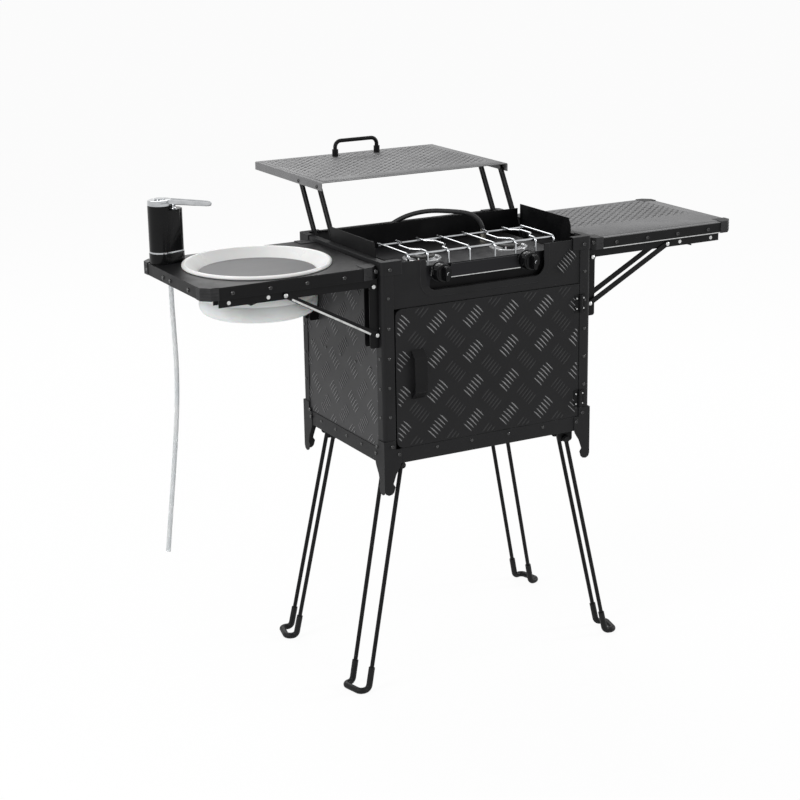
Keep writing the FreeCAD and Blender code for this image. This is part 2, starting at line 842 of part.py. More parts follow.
def door_pull():
    """A shallow bow handle of folded sheet, screwed to the door at its two ends."""
    body = new_body("DoorPull")
    low, high = "pull_z - pull_length / 2", "pull_z + pull_length / 2"
    back = "-half_depth"
    front = "-half_depth - pull_depth"
    pad(body, "X", [[
        (back, low), (front, low + " + pull_depth"), (front, high + " - pull_depth"),
        (back, high), (back, high + " - pull_wall * 2"),
        (front + " + pull_wall", high + " - pull_depth - pull_wall"),
        (front + " + pull_wall", low + " + pull_depth + pull_wall"),
        (back, low + " + pull_wall * 2"),
    ]], "-pull_x - pull_width / 2", "-pull_x + pull_width / 2")
    round_edges(body, "pull_wall * 2", lambda way, middle: along(way, X_AXIS)
                and near(middle.y, front))
    subpart("door_pull", [body])


def hinge_halves(level):
    """The two leaves of one butt hinge, with a pin in the post's leaf."""
    low, high = "%s - hinge_length / 2" % level, "%s + hinge_length / 2" % level
    third_low = "%s - hinge_length / 6" % level
    third_high = "%s + hinge_length / 6" % level
    centre = ("hinge_x", "hinge_y")
    leaf_y = ("-half_depth - sheet_gauge", "-half_depth")
    knuckle_side = "hinge_x + hinge_radius + hinge_gap"
    post_leaf = block("PostLeaf", (knuckle_side, "hinge_x + hinge_leaf"), leaf_y, (low, high))
    ears = []
    for start, end in ((low, third_low), (third_high, high)):
        ears.append(block("PostEar", ("hinge_x", knuckle_side), leaf_y, (start, end)))
        ears.append(rod("PostKnuckle", "Z", "hinge_radius", start, end, centre))
    pin = rod("HingePin", "Z", "hinge_pin_radius", low, high, centre)
    post = join("PostHalf", [post_leaf, pin] + ears)
    door_side = "hinge_x - hinge_radius - hinge_gap"
    door_low, door_high = third_low + " + hinge_gap", third_high + " - hinge_gap"
    door_leaf = block("DoorLeaf", ("hinge_x - hinge_leaf", door_side), leaf_y, (low, high))
    door_ear = block("DoorEar", (door_side, "hinge_x"), leaf_y, (door_low, door_high))
    knuckle = rod("DoorKnuckle", "Z", "hinge_radius", door_low, door_high, centre)
    bore = rod("DoorBore", "Z", "hinge_pin_radius + pin_clearance", door_low + " - overrun",
               door_high + " + overrun", centre)
    door = subtract("DoorHalf", join("DoorHalfSolid", [door_leaf, door_ear, knuckle]), bore)
    return post, door


def door_hinges():
    posts, doors = [], []
    for level in ("upper_hinge_z", "lower_hinge_z"):
        post, door = hinge_halves(level)
        posts.append(post)
        doors.append(door)
    subpart("post_hinge_leaves", posts)
    subpart("door_hinge_leaves", doors)


# Wind shields and stove

def wind_shields():
    side = new_body("SideShield")
    low = "cabinet_top - side_shield_seat"
    high = "cabinet_top + side_shield_rise"
    nose = "side_shield_rise / 2"
    pad(side, "X", [[
        ("-side_shield_front", low), ("side_shield_back", low), ("side_shield_back", high),
        ("-side_shield_front + side_shield_rise / 4", high),
        ("-side_shield_front", "(%s) - %s" % (high, nose)),
    ]], "shield_inside", "shield_outside")
    rear = new_body("RearShield")
    face = "rear_shield_y"
    back = "rear_shield_y + shield_gauge"
    pad(rear, "X", [[
        (face, "tray_top"), ("rear_shield_y + rear_shield_foot", "tray_top"),
        ("rear_shield_y + rear_shield_foot", "tray_top + shield_gauge"),
        (back, "tray_top + shield_gauge"), (back, "cabinet_top + rear_shield_rise"),
        (face, "cabinet_top + rear_shield_rise"),
    ]], "-tray_half_width", "tray_half_width")
    subpart("wind_shields", [side, mirrored(side, X_AXIS), rear])


def stove_body():
    """The stove's pressed casing: rounded corners, open below, with a hole for each burner."""
    body = new_body("StoveBody")
    left, right = "-stove_shift - stove_width / 2", "-stove_shift + stove_width / 2"
    front, back = "-stove_front", "stove_back"
    pad(body, "Z", [rectangle(left, right, front, back)], "tray_top", "stove_top")
    round_edges(body, "stove_round", lambda way, middle: along(way, Z_AXIS))
    wall = "sheet_gauge"
    cut(body, "Z", [rectangle("(%s) + stove_round / 3" % left, "(%s) - stove_round / 3" % right,
                              "(%s) + stove_round / 3" % front, "(%s) - stove_round / 3" % back)],
        "tray_top - overrun", "stove_top - " + wall)
    cut(body, "Z", [("circle", "left_burner_x", "-burner_y", "burner_hole"),
                    ("circle", "right_burner_x", "-burner_y", "burner_hole")],
        "stove_top - %s - overrun" % wall, "stove_top + overrun")
    cut(body, "Y", [("circle", "left_burner_x", "knob_z", "valve_radius + panel_gap"),
                    ("circle", "right_burner_x", "knob_z", "valve_radius + panel_gap")],
        "-stove_front - overrun", "-stove_front + stove_round")
    cut(body, "Z", [("circle", "right_burner_x", "0", "hose_fitting_radius - panel_gap * 3")],
        "stove_top - %s - overrun" % wall, "stove_top + overrun")
    subpart("stove_body", [body])


def stove_fascia():
    """The plate between the knobs, on two standoffs, with a round bezel behind each knob."""
    body = new_body("StoveFascia")
    back = "-stove_front"
    low = "knob_z - fascia_height / 2"
    high = "knob_z + fascia_height / 2"
    face = "-stove_front - fascia_stand"
    slope = "fascia_height / 3"
    pad(body, "Y", [[
        ("-stove_shift - fascia_half_width", low), ("-stove_shift + fascia_half_width", low),
        ("-stove_shift + fascia_half_width - (%s)" % slope, high),
        ("-stove_shift - fascia_half_width + %s" % slope, high),
    ]], face, "(%s) + fascia_gauge" % face)
    pad(body, "Y", [rectangle("-stove_shift - fascia_half_width / 2",
                              "-stove_shift + fascia_half_width / 2", low,
                              low + " + fascia_gauge * 2")],
        "(%s) + fascia_gauge" % face, back)
    pieces = [body]
    for x in ("left_burner_x", "right_burner_x"):
        ring = rod("Bezel", "Y", "bezel_radius", "-stove_front - fascia_gauge", back,
                   (x, "knob_z"))
        bore = rod("BezelBore", "Y", "valve_radius + panel_gap",
                   "-stove_front - fascia_gauge - overrun", "-stove_front + overrun",
                   (x, "knob_z"))
        pieces.append(subtract("BezelRing", ring, bore))
    subpart("stove_fascia", pieces)


def burner(x):
    """One burner, turned: a drip pan in the stove's hole, a mixer neck and the domed head."""
    body = new_body("Burner")
    pan = "stove_top"
    revolve(body, [
        ("0", "stove_top - burner_rise * 2"), ("burner_neck", "stove_top - burner_rise * 2"),
        ("burner_neck", pan + " - burner_pan_rise"),
        ("burner_hole - panel_gap", pan + " - burner_pan_rise"),
        ("burner_hole - panel_gap", pan), ("burner_pan_radius", pan),
        ("burner_pan_radius", pan + " + sheet_gauge"),
        ("burner_hole - panel_gap * 2", pan + " + sheet_gauge"),
        ("burner_hole - sheet_gauge * 2", pan + " - burner_pan_rise + sheet_gauge"),
        ("burner_head_radius - sheet_gauge * 2", pan + " - burner_pan_rise + sheet_gauge"),
        ("burner_head_radius - sheet_gauge * 2", pan + " + burner_rise / 3"),
        ("burner_head_radius", pan + " + burner_rise / 3"),
        ("burner_head_radius", pan + " + burner_rise * 0.7"),
        ("burner_head_radius * 0.6", pan + " + burner_rise"),
        ("0", pan + " + burner_rise"),
    ])
    body.setExpression("Placement.Base.x", point_at_owner(x))
    body.setExpression("Placement.Base.y", point_at_owner("-burner_y"))
    return body


def burners():
    subpart("burners", [burner("left_burner_x"), burner("right_burner_x")])


def gas_pipes():
    """The gas side of the stove: valves, the pipe between them, mixers and the inlet elbow."""
    level = "knob_z"
    front = "-stove_front + stove_round"
    pipe_y = "-stove_front + stove_round + valve_radius"
    parts = [rod("Manifold", "X", "manifold_radius", "left_burner_x", "right_burner_x",
                 (pipe_y, level))]
    for x in ("left_burner_x", "right_burner_x"):
        parts.append(rod("Valve", "Y", "valve_radius", "-stove_front", pipe_y + " + valve_radius",
                         (x, level)))
        parts.append(rod("Mixer", "Y", "mixer_radius", pipe_y,
                         "-burner_y - burner_neck - panel_gap", (x, level)))
        parts.append(rod("Stem", "Y", "knob_stem", "-stove_front - fascia_stand", front,
                         (x, level)))
    feed_x = "stove_width / 2 - stove_round * 2 - stove_shift"
    parts.append(rod("Feed", "Y", "manifold_radius", pipe_y, "0", (feed_x, level)))
    parts.append(rod("Crossover", "X", "manifold_radius", "right_burner_x",
                     feed_x, ("0", level)))
    parts.append(rod("FeedLink", "X", "manifold_radius", "right_burner_x", feed_x,
                     (pipe_y, level)))
    parts.append(rod("Inlet", "Z", "hose_fitting_radius - panel_gap * 4", level, "stove_top",
                     ("right_burner_x", "0")))
    parts.append(rod("InletNut", "Z", "hose_fitting_radius", "stove_top",
                     "stove_top + hose_fitting_length", ("right_burner_x", "0")))
    subpart("gas_pipes", [join("GasPipes", parts), gas_bulkhead()])


def gas_bulkhead():
    """The fitting in the back panel that the gas hose starts from."""
    body = new_body("Bulkhead")
    depth = "hose_fitting_length"
    revolve(body, [("0", "0"), ("hose_fitting_radius", "0"), ("hose_fitting_radius", depth),
                   ("0", depth)])
    x, _, z = GAS_ROUTE[0]
    face = measure("end_inside - hose_fitting_length")
    body.Placement = Placement(Vector(x, face, z), Rotation(X_AXIS, -90))
    return body


# The gas hose's route, from its fitting in the back panel, over the rear shield, to the stove
GAS_ROUTE = (
    (-95, 152.6, 792.1), (-95, 130, 793), (-90, 106, 806), (-72, 88, 830), (-40, 74, 849),
    (0, 58, 857), (38, 36, 855), (64.9, 16.6, 852), (78.4, 6.9, 843.1), (87, 0.7, 827.4),
    (88, 0, 814.5),
)


def gas_hose():
    radius = measure("gas_hose_radius")
    tube = loose_tube("gas hose", [Vector(*point) for point in GAS_ROUTE], radius)
    subpart("gas_hose", [formed("GasHose", tube)])


def knob(name, x):
    """A turning knob: a round skirt with a raised finger grip, bored for the valve stem."""
    body = new_body(name)
    back = "-stove_front - fascia_gauge - panel_gap"
    skirt = "-knob_front + knob_length * 0.6"
    pad(body, "Y", [("circle", x, "knob_z", "knob_radius")], skirt, back)
    pad(body, "Y", [("circle", x, "knob_z", "knob_radius * 0.82")],
        "-knob_front + knob_length * 0.45", skirt)
    grip = "knob_grip / 2"
    pad(body, "Y", [rectangle("(%s) - %s" % (x, grip), "(%s) + %s" % (x, grip),
                              "knob_z - knob_radius * 0.8", "knob_z + knob_radius * 0.8")],
        "-knob_front", "-knob_front + knob_length * 0.45")
    cut(body, "Y", [("circle", x, "knob_z", "knob_stem + pin_clearance")],
        "-stove_front - fascia_stand - panel_gap", "-stove_front + overrun")
    return body


def knobs():
    subpart("left_knob", [knob("LeftKnob", "left_burner_x")])
    subpart("right_knob", [knob("RightKnob", "right_burner_x")])


def pan_support():
    """The loose pan support, bent and welded from plated wire: two long wires, two ends that
    turn down into feet, and wires that cross over them and bow round each burner."""
    wire, bend = measure("grate_wire"), measure("grate_bend")
    left = measure("-stove_shift - grate_width / 2")
    right = measure("-stove_shift + grate_width / 2")
    front, back = -measure("grate_front"), -measure("grate_back")
    upper = measure("grate_z - grate_wire")
    lower = upper - measure("grate_wire * 2 - grate_weld")
    foot = measure("stove_top + seat_gap")
    reach = measure("grate_overhang")
    solids = []

    def add_wire(points, radii):
        solids.append(swept(rounded_path(points, radii), wire))

    for y in (front, back):
        add_wire([Vector(left - wire, y, lower), Vector(right + wire, y, lower)], [])
    for x in (left, right):
        add_wire([Vector(x, back + wire * 2, upper), Vector(x, front - reach, upper),
                  Vector(x, front - reach, foot)], [bend])
    spread, bow = measure("grate_spread"), measure("grate_bow")
    straight = measure("grate_straight")
    for x in (measure("left_burner_x"), measure("right_burner_x")):
        for side in (-1, 1):
            end_x, bow_x = x + side * spread, x + side * (spread + bow)
            ys = [back + (front - back) * share for share in (0.14, 0.32, 0.68, 0.86)]
            add_wire([Vector(end_x, back + reach, upper), Vector(end_x, ys[0], upper),
                      Vector(bow_x, ys[1], upper), Vector(bow_x, ys[2], upper),
                      Vector(end_x, ys[3], upper), Vector(end_x, front - reach, upper),
                      Vector(end_x, front - reach, foot)], [bend] * 5)
    for side in (-1, 1):
        x = measure("-stove_shift") + side * straight
        add_wire([Vector(x, back + reach, upper), Vector(x, front - reach, upper),
                  Vector(x, front - reach, foot)], [bend])
    support = solids[0].multiFuse(solids[1:])
    subpart("pan_support", [formed("PanSupport", support)])


# Legs

def leg_frame(side_x, side_y):
    """The turned frame of one leg: its pivot as origin, its rods along -Z, outwards along X."""
    level = "leg_high_pivot" if side_x * side_y > 0 else "leg_low_pivot"
    pivot = at("leg_x", "leg_y", level)
    pivot.x *= side_x
    pivot.y *= side_y
    away = Vector(side_x * math.cos(math.radians(measure("leg_turn"))),
                  side_y * math.sin(math.radians(measure("leg_turn"))), 0)
    turn = math.degrees(math.atan2(away.y, away.x))
    upright = Placement(pivot, Rotation(Z_AXIS, turn))
    tilted = upright.multiply(Placement(Vector(), Rotation(Y_AXIS, -measure("leg_tilt"))))
    return pivot, upright, tilted


def leg_points(pivot_height):
    """The hairpin's corners in the leg's own frame, from one eye round the foot to the other."""
    tilt = math.radians(measure("leg_tilt"))
    drop = (pivot_height - measure("foot_sleeve")) / math.cos(tilt)
    out = Vector(math.cos(tilt), 0, -math.sin(tilt)) * measure("foot_reach")
    side = Vector(0, measure("leg_spacing") / 2, 0)
    ankle = Vector(0, 0, -drop)
    return [-side, ankle - side, ankle - side + out, ankle + side + out, ankle + side, side]


def leg(name, side_x, side_y):
    """One hairpin leg of round rod with flat eyes, and the rubber sleeve on its foot."""
    pivot, _upright, tilted = leg_frame(side_x, side_y)
    corners = leg_points(pivot.z)
    bend = measure("foot_bend")
    radius = measure("leg_rod")
    rod_shape = swept(rounded_path(corners, [bend] * 4), radius)
    eye_radius, width = measure("eye_radius"), measure("eye_width")
    spread = measure("leg_spacing") / 2
    bore = Part.makeCylinder(measure("bolt_radius + pin_clearance"), 4 * spread,
                             Vector(0, -2 * spread, 0), Y_AXIS)
    eyes = [Part.makeCylinder(eye_radius, width, Vector(0, side * spread - width / 2, 0), Y_AXIS)
            for side in (-1, 1)]
    hairpin = rod_shape.multiFuse(eyes).cut(bore)
    rise = Vector(0, 0, measure("foot_sleeve_rise"))
    sleeve_path = [corners[1] + rise] + corners[1:5] + [corners[4] + rise]
    sleeve = swept(rounded_path(sleeve_path, [bend] * 4), measure("foot_sleeve")).cut(rod_shape)
    for label, shape in ((name, hairpin), (name + "_foot", sleeve)):
        placed = shape.copy()
        placed.transformShape(tilted.toMatrix())
        subpart(label, [formed(label.title().replace("_", ""), placed)])


def legs():
    leg("front_left_leg", -1, -1)
    leg("front_right_leg", 1, -1)
    leg("back_left_leg", -1, 1)
    leg("back_right_leg", 1, 1)


def leg_brackets():
    """A folded lug with two ears under each corner, and the pivot bolt through it."""
    shapes = []
    half, long, gauge = measure("lug_half"), measure("lug_length"), measure("lug_gauge")
    under = measure("panel_low")
    reach = measure("leg_spacing / 2 + eye_width / 2 + pin_clearance * 5")
    for side_x in (-1, 1):
        for side_y in (-1, 1):
            pivot, upright, _tilted = leg_frame(side_x, side_y)
            top = under - pivot.z
            low = -measure("lug_margin")
            web = Part.makeBox(long, 2 * half, gauge, Vector(-long / 2, -half, top - gauge))
            ears = [Part.makeBox(long, gauge, top - low, Vector(-long / 2, y, low))
                    for y in (-half, half - gauge)]
            bolt = Part.makeCylinder(measure("bolt_radius"), 2 * reach, Vector(0, -reach, 0),
                                     Y_AXIS)
            head = measure("bolt_head_height")
            heads = [Part.makeCylinder(measure("bolt_head_radius"), head, Vector(0, y, 0), Y_AXIS)
                     for y in (-reach - head, reach)]
            lug = web.multiFuse(ears)
            corners = [edge for edge in lug.Edges if len(edge.Vertexes) == 2
                       and along(edge.tangentAt(edge.FirstParameter), Y_AXIS)
                       and math.isclose(edge.CenterOfMass.z, low, abs_tol=1e-4)]
            lug = lug.makeFillet(-low * 0.9, corners).multiFuse([bolt] + heads)
            lug.transformShape(upright.toMatrix())
            shapes.append(lug)
    pieces = [formed("LegBracket%d" % number, shape) for number, shape in enumerate(shapes)]
    subpart("leg_brackets", pieces)


# Folding brackets

def wall_rail(y):
    """An upright channel on the cabinet's side, with the worktop's pivot pin in its top."""
    body = new_body("WallRail")
    inner = "wall_rail_half - rail_gauge"
    half = "wall_rail_half"
    seat = "side_face" if y == "stay_back_y" else "half_width"
    pad(body, "Z", [[
        (seat, "%s - %s" % (y, half)), ("wall_rail_front", "%s - %s" % (y, half)),
        ("wall_rail_front", "%s - (%s)" % (y, inner)),
        ("half_width + rail_gauge", "%s - (%s)" % (y, inner)),
        ("half_width + rail_gauge", "%s + %s" % (y, inner)),
        ("wall_rail_front", "%s + %s" % (y, inner)),
        ("wall_rail_front", "%s + %s" % (y, half)), (seat, "%s + %s" % (y, half)),
    ]], "wall_rail_bottom", "wall_rail_top")
    cut(body, "Y", [("circle", "stay_x", "stay_z", "rivet_radius + pin_clearance - 0 * overrun")],
        "%s - %s - overrun" % (y, half), "%s + %s + overrun" % (y, half))
    round_edges(body, "rail_gauge * 3", lambda way, middle: along(way, Y_AXIS)
                and near(middle.x, "wall_rail_front"))
    reach = "shelf_rail_half + bar_gap"
    pin = rod("PivotPin", "Y", "rivet_radius", "%s - (%s)" % (y, reach),
              "%s + %s" % (y, reach), ("pivot_x", "pivot_z"))
    heads = []
    for start, end in (("%s - (%s) - rivet_head_height" % (y, reach), "%s - (%s)" % (y, reach)),
                       ("%s + %s" % (y, reach), "%s + %s + rivet_head_height" % (y, reach))):
        heads.append(rod("PivotHead", "Y", "rivet_head", start, end, ("pivot_x", "pivot_z")))
    return join("WallRailWithPin", [body, pin] + heads)


def wall_rails():
    rails = [wall_rail("stay_front_y"), wall_rail("stay_back_y")]
    subpart("wall_rails", rails + [mirrored(rail, X_AXIS) for rail in rails])


def shelf_rail(y):
    """A channel under the worktop, open below, that closes over the wall rail when folded."""
    body = new_body("ShelfRail")
    inner = "shelf_rail_half - rail_gauge"
    half = "shelf_rail_half"
    low = "wing_under - shelf_rail_depth"
    web = "wing_under - rail_gauge"
    pad(body, "X", [[
        ("%s - %s" % (y, half), low), ("%s - (%s)" % (y, inner), low),
        ("%s - (%s)" % (y, inner), web), ("%s + %s" % (y, inner), web),
        ("%s + %s" % (y, inner), low), ("%s + %s" % (y, half), low),
        ("%s + %s" % (y, half), "wing_under"), ("%s - %s" % (y, half), "wing_under"),
    ]], "wing_inner", "shelf_rail_end")
    for side in ("-", "+"):
        edges = ("%s %s (%s)" % (y, side, inner), "%s %s %s" % (y, side, half))
        start, end = edges if side == "+" else edges[::-1]
        pad(body, "Y", [[
            ("wing_inner", web), ("wing_inner", "pivot_z"), ("pivot_x + pivot_inset", "pivot_z"),
            ("pivot_x + pivot_inset * 2", low), ("pivot_x + pivot_inset * 2", web),
        ]], start, end)
        pad(body, "Y", [("circle", "pivot_x", "pivot_z", "pivot_inset")], start, end)
    cut(body, "Y", [("circle", "pivot_x", "pivot_z", "rivet_radius + pin_clearance")],
        "%s - %s - overrun" % (y, half), "%s + %s + overrun" % (y, half))
    lever_pin = rod("LeverPin", "Y", "rivet_radius * 0.6", "%s - %s" % (y, half),
                    "%s + %s" % (y, half), ("lever_x", "lever_z"))
    return join("ShelfRailWithPin", [body, lever_pin])


def shelf_rails():
    rails = [shelf_rail("stay_front_y"), shelf_rail("stay_back_y")]
    subpart("right_shelf_rails", rails)
    subpart("left_shelf_rails", [mirrored(rail, X_AXIS) for rail in rails])


def stay(y):
    """The two bars of one stay on their wall rivet, turned up to the worktop's rail."""
    body = new_body("StayBars")
    half = "stay_bar_width / 2"
    near_bar = "shelf_rail_half + bar_gap"
    far_bar = "shelf_rail_half + bar_gap + stay_bar_gauge"
    head = "%s + rivet_head_height / 2" % far_bar
    pad(body, "Y", [("circle", "0", "0", "rivet_radius")],
        "-(%s)" % head, head)
    for start, end in (("-(%s)" % far_bar, "-(%s)" % near_bar), (near_bar, far_bar)):
        pad(body, "Y", [("circle", "0", "0", half)], start, end)
        pad(body, "Y", [rectangle("0", "stay_length", "-(%s)" % half, half)], start, end)
        pad(body, "Y", [("circle", "stay_length", "0", half)], start, end)
    for start, end in (("-(%s)" % head, "-(%s)" % far_bar), (far_bar, head)):
        pad(body, "Y", [("circle", "0", "0", "rivet_head")], start, end)
        pad(body, "Y", [("circle", "stay_length", "0", "rivet_head")], start, end)
    body.Placement = Placement(Vector(), Rotation(Y_AXIS, -measure("stay_angle")))
    body.setExpression("Placement.Rotation.Angle", point_at_owner("-stay_angle"))
    for prop, formula in (("x", "stay_x"), ("y", y), ("z", "stay_z")):
        body.setExpression("Placement.Base." + prop, point_at_owner(formula))
    return body


def stays():
    pair = [stay("stay_front_y"), stay("stay_back_y")]
    subpart("right_stays", pair)
    subpart("left_stays", [mirrored(piece, X_AXIS) for piece in pair])


def lever(y):
    """The release tab inside the worktop's rail: pressed up, it frees the stay."""
    body = new_body("Lever")
    eye = "rivet_radius"
    pad(body, "Y", [("circle", "lever_x", "lever_z", eye)],
        "%s - lever_half" % y, "%s + lever_half" % y)
    pad(body, "Y", [[
        ("lever_x", "lever_z - " + eye), ("lever_x", "lever_z"),
        ("lever_x + rivet_radius", "lever_z"),
        ("lever_x + lever_length", "lever_z - lever_droop + lever_gauge"),
        ("lever_x + lever_length", "lever_z - lever_droop"),
    ]], "%s - lever_half" % y, "%s + lever_half" % y)
    cut(body, "Y", [("circle", "lever_x", "lever_z", "rivet_radius * 0.6 + pin_clearance")],
        "%s - lever_half - overrun" % y, "%s + lever_half + overrun" % y)
    return body


def levers():
    pair = [lever("stay_front_y"), lever("stay_back_y")]
    subpart("right_levers", pair)
    subpart("left_levers", [mirrored(piece, X_AXIS) for piece in pair])


# Worktops

def wing_outline(inset):
    """The worktop's plan: a rectangle with its four corners cut off."""
    left, right = "wing_inner + %s" % inset, "wing_outer - %s" % inset
    low, high = "wing_front + %s" % inset, "wing_back - %s" % inset
    return [
        (left, low + " + wing_corner"), (left + " + wing_corner", low),
        (right + " - wing_corner", low), (right, low + " + wing_corner"),
        (right, high + " - wing_corner"), (right + " - wing_corner", high),
        (left + " + wing_corner", high), (left, high + " - wing_corner"),
    ]


def wing_frame(name):
    """The worktop's edge frame: a ring of folded strip with a lip turned in below."""
    body = new_body(name)
    pad(body, "Z", [wing_outline("0")], "wing_under", "wing_top - wing_top_gauge")
    cut(body, "Z", [wing_outline("wing_wall")], "wing_under + wing_wall", "wing_top + overrun")
    cut(body, "Z", [wing_outline("(wing_wall + wing_lip)")], "wing_under - overrun",
        "wing_top + overrun")
    return body


def wing_top(name, hole):
    """The worktop's sheet, with a square left out at each corner for the guards."""
    body = new_body(name)
    left, right = "wing_inner + %s", "wing_outer - %s"
    low, high = "wing_front + %s", "wing_back - %s"
    edge, step = "0", "(guard_reach + panel_gap)"
    pad(body, "Z", [[
        (left % edge, low % step), (left % step, low % step), (left % step, low % edge),
        (right % step, low % edge), (right % step, low % step), (right % edge, low % step),
        (right % edge, high % step), (right % step, high % step), (right % step, high % edge),
        (left % step, high % edge), (left % step, high % step), (left % edge, high % step),
    ]], "wing_top - wing_top_gauge", "wing_top")
    if hole:
        low, high = "wing_top - wing_top_gauge - overrun", "wing_top + overrun"
        cut(body, "Z", [("circle", "basin_x", "basin_y", "basin_hole")], low, high)
        cut(body, "Z", [("circle", "tap_x - nozzle_offset", "tap_y",
                         "nozzle_radius + seat_gap")], low, high)
    return body


def corner_guards(name):
    """Ribbed guards that wrap the worktop's four corners."""
    guards = []
    for x_side in ("inner", "outer"):
        for y_side in ("front", "back"):
            guards.append(corner_guard(name + x_side.title() + y_side.title(), x_side, y_side))
    return guards


def corner_guard(name, x_side, y_side):
    body = new_body(name)
    proud = "guard_proud"
    if x_side == "inner":
        x_range = ("wing_inner - %s" % proud, "wing_inner + guard_reach")
    else:
        x_range = ("wing_outer - guard_reach", "wing_outer + %s" % proud)
    if y_side == "front":
        y_range = ("wing_front - %s" % proud, "wing_front + guard_reach")
    else:
        y_range = ("wing_back - guard_reach", "wing_back + %s" % proud)
    base = block(name + "Block", x_range, y_range,
                 ("wing_under", "wing_top + %s" % proud))
    pad(body, "Z", [wing_outline("0")], "wing_under - overrun", "wing_top - wing_top_gauge")
    outer = new_body(name + "Outer")
    pad(outer, "Z", [wing_outline("(-%s)" % proud)], "wing_under",
        "wing_top + %s" % proud)
    corner = DOC.addObject("Part::Common", name + "Corner")
    corner.Base = outer
    corner.Tool = base
    shell = subtract(name + "Shell", corner, body)
    return shell


def worktops():
    right_frame = wing_frame("RightWingFrame")
    left_frame = wing_frame("LeftWingFrame")
    subpart("right_wing_frame", [right_frame])
    subpart("left_wing_frame", [mirrored(left_frame, X_AXIS)])
    subpart("right_wing_top", [wing_top("RightWingTop", False)])
    subpart("left_wing_top", [mirrored(wing_top("LeftWingTop", True), X_AXIS)])
    guards = corner_guards("Guard")
    subpart("right_corner_guards", guards)
    seat = rod("TapSeat", "Z", "tap_radius + tap_base_proud + panel_gap", "wing_top",
               "wing_top + overrun", ("tap_x", "tap_y"))
    notched = subtract("NotchedGuard", guards[-1], seat)
    left_guards = guards[:-1] + [notched]
    subpart("left_corner_guards", [mirrored(guard, X_AXIS) for guard in left_guards])


# Basin

def basin():
    """A collapsible basin: a stiff flared rim, a soft skirt and a floor that pushes down."""
    rim = new_body("BasinRim")
    low = "wing_under"
    revolve(rim, [
        ("basin_throat", low), ("basin_hole - wing_wall * 1.5", "wing_top - wing_top_gauge"),
        ("basin_hole - wing_wall", "wing_top"), ("basin_rim_radius", "wing_top"),
        ("basin_rim_radius", "basin_top - basin_wall"),
        ("basin_rim_radius - basin_wall", "basin_top"),
        ("basin_rim_radius - basin_lip", "basin_top"),
        ("basin_rim_radius - basin_lip - basin_wall", "basin_top - basin_wall"),
        ("basin_throat - basin_wall", low + " + basin_seat"),
        ("basin_throat - basin_wall", low),
    ])
    skirt = new_body("BasinSkirt")
    bottom = "basin_top - basin_depth"
    bend = "basin_skirt_round"
    shrink = bend + " * 0.3"
    revolve(skirt, [
        ("basin_throat", low), ("basin_throat - basin_wall", low),
        ("basin_throat - basin_wall", "%s + %s" % (bottom, bend)),
        ("basin_throat - basin_wall - %s" % shrink, "%s + %s + basin_wall" % (bottom, shrink)),
        ("basin_throat - %s" % bend, bottom + " + basin_wall"),
        ("basin_throat - %s * 1.5" % bend, bottom + " + basin_wall"),
        ("basin_throat - %s * 1.5" % bend, bottom), ("basin_throat - %s" % bend, bottom),
        ("basin_throat - %s" % shrink, "%s + %s" % (bottom, shrink)),
        ("basin_throat", "%s + %s" % (bottom, bend)),
    ])
    floor = new_body("BasinFloor")
    edge = "basin_throat - basin_wall - seat_gap"
    inner = "%s - basin_wall" % edge
    revolve(floor, [
        ("0", "basin_floor - basin_wall"), (inner, "basin_floor - basin_wall"),
        (inner, "basin_floor - basin_floor_lip"), (edge, "basin_floor - basin_floor_lip"),
        (edge, "basin_floor"), ("0", "basin_floor"),
    ])
    for body, label in ((rim, "basin_rim"), (skirt, "basin_skirt"), (floor, "basin_floor")):
        body.setExpression("Placement.Base.x", point_at_owner("-basin_x"))
        body.setExpression("Placement.Base.y", point_at_owner("basin_y"))
        subpart(label, [body])


# Tap

def place_tap(piece, turned=False):
    """Stand a tap piece on the left worktop, and turn the head's pieces towards the basin."""
    if turned:
        piece.Placement = Placement(Vector(), Rotation(Z_AXIS, -measure("tap_turn")))
        piece.setExpression("Placement.Rotation.Angle", point_at_owner("-tap_turn"))
    piece.setExpression("Placement.Base.x", point_at_owner("-tap_x"))
    piece.setExpression("Placement.Base.y", point_at_owner("tap_y"))
    return piece


def two_lobes(name, proud, low, high, lobe_high):
    """The tap's plan: a large round with a smaller one against it, under the spout."""
    main = rod(name + "Main", "Z", "tap_radius + %s" % proud, low, high, ("0", "0"))
    lobe = rod(name + "Lobe", "Z", "tap_lobe_radius + %s" % proud, low, lobe_high,
               ("tap_lobe_offset", "0"))
    return join(name, [main, lobe])


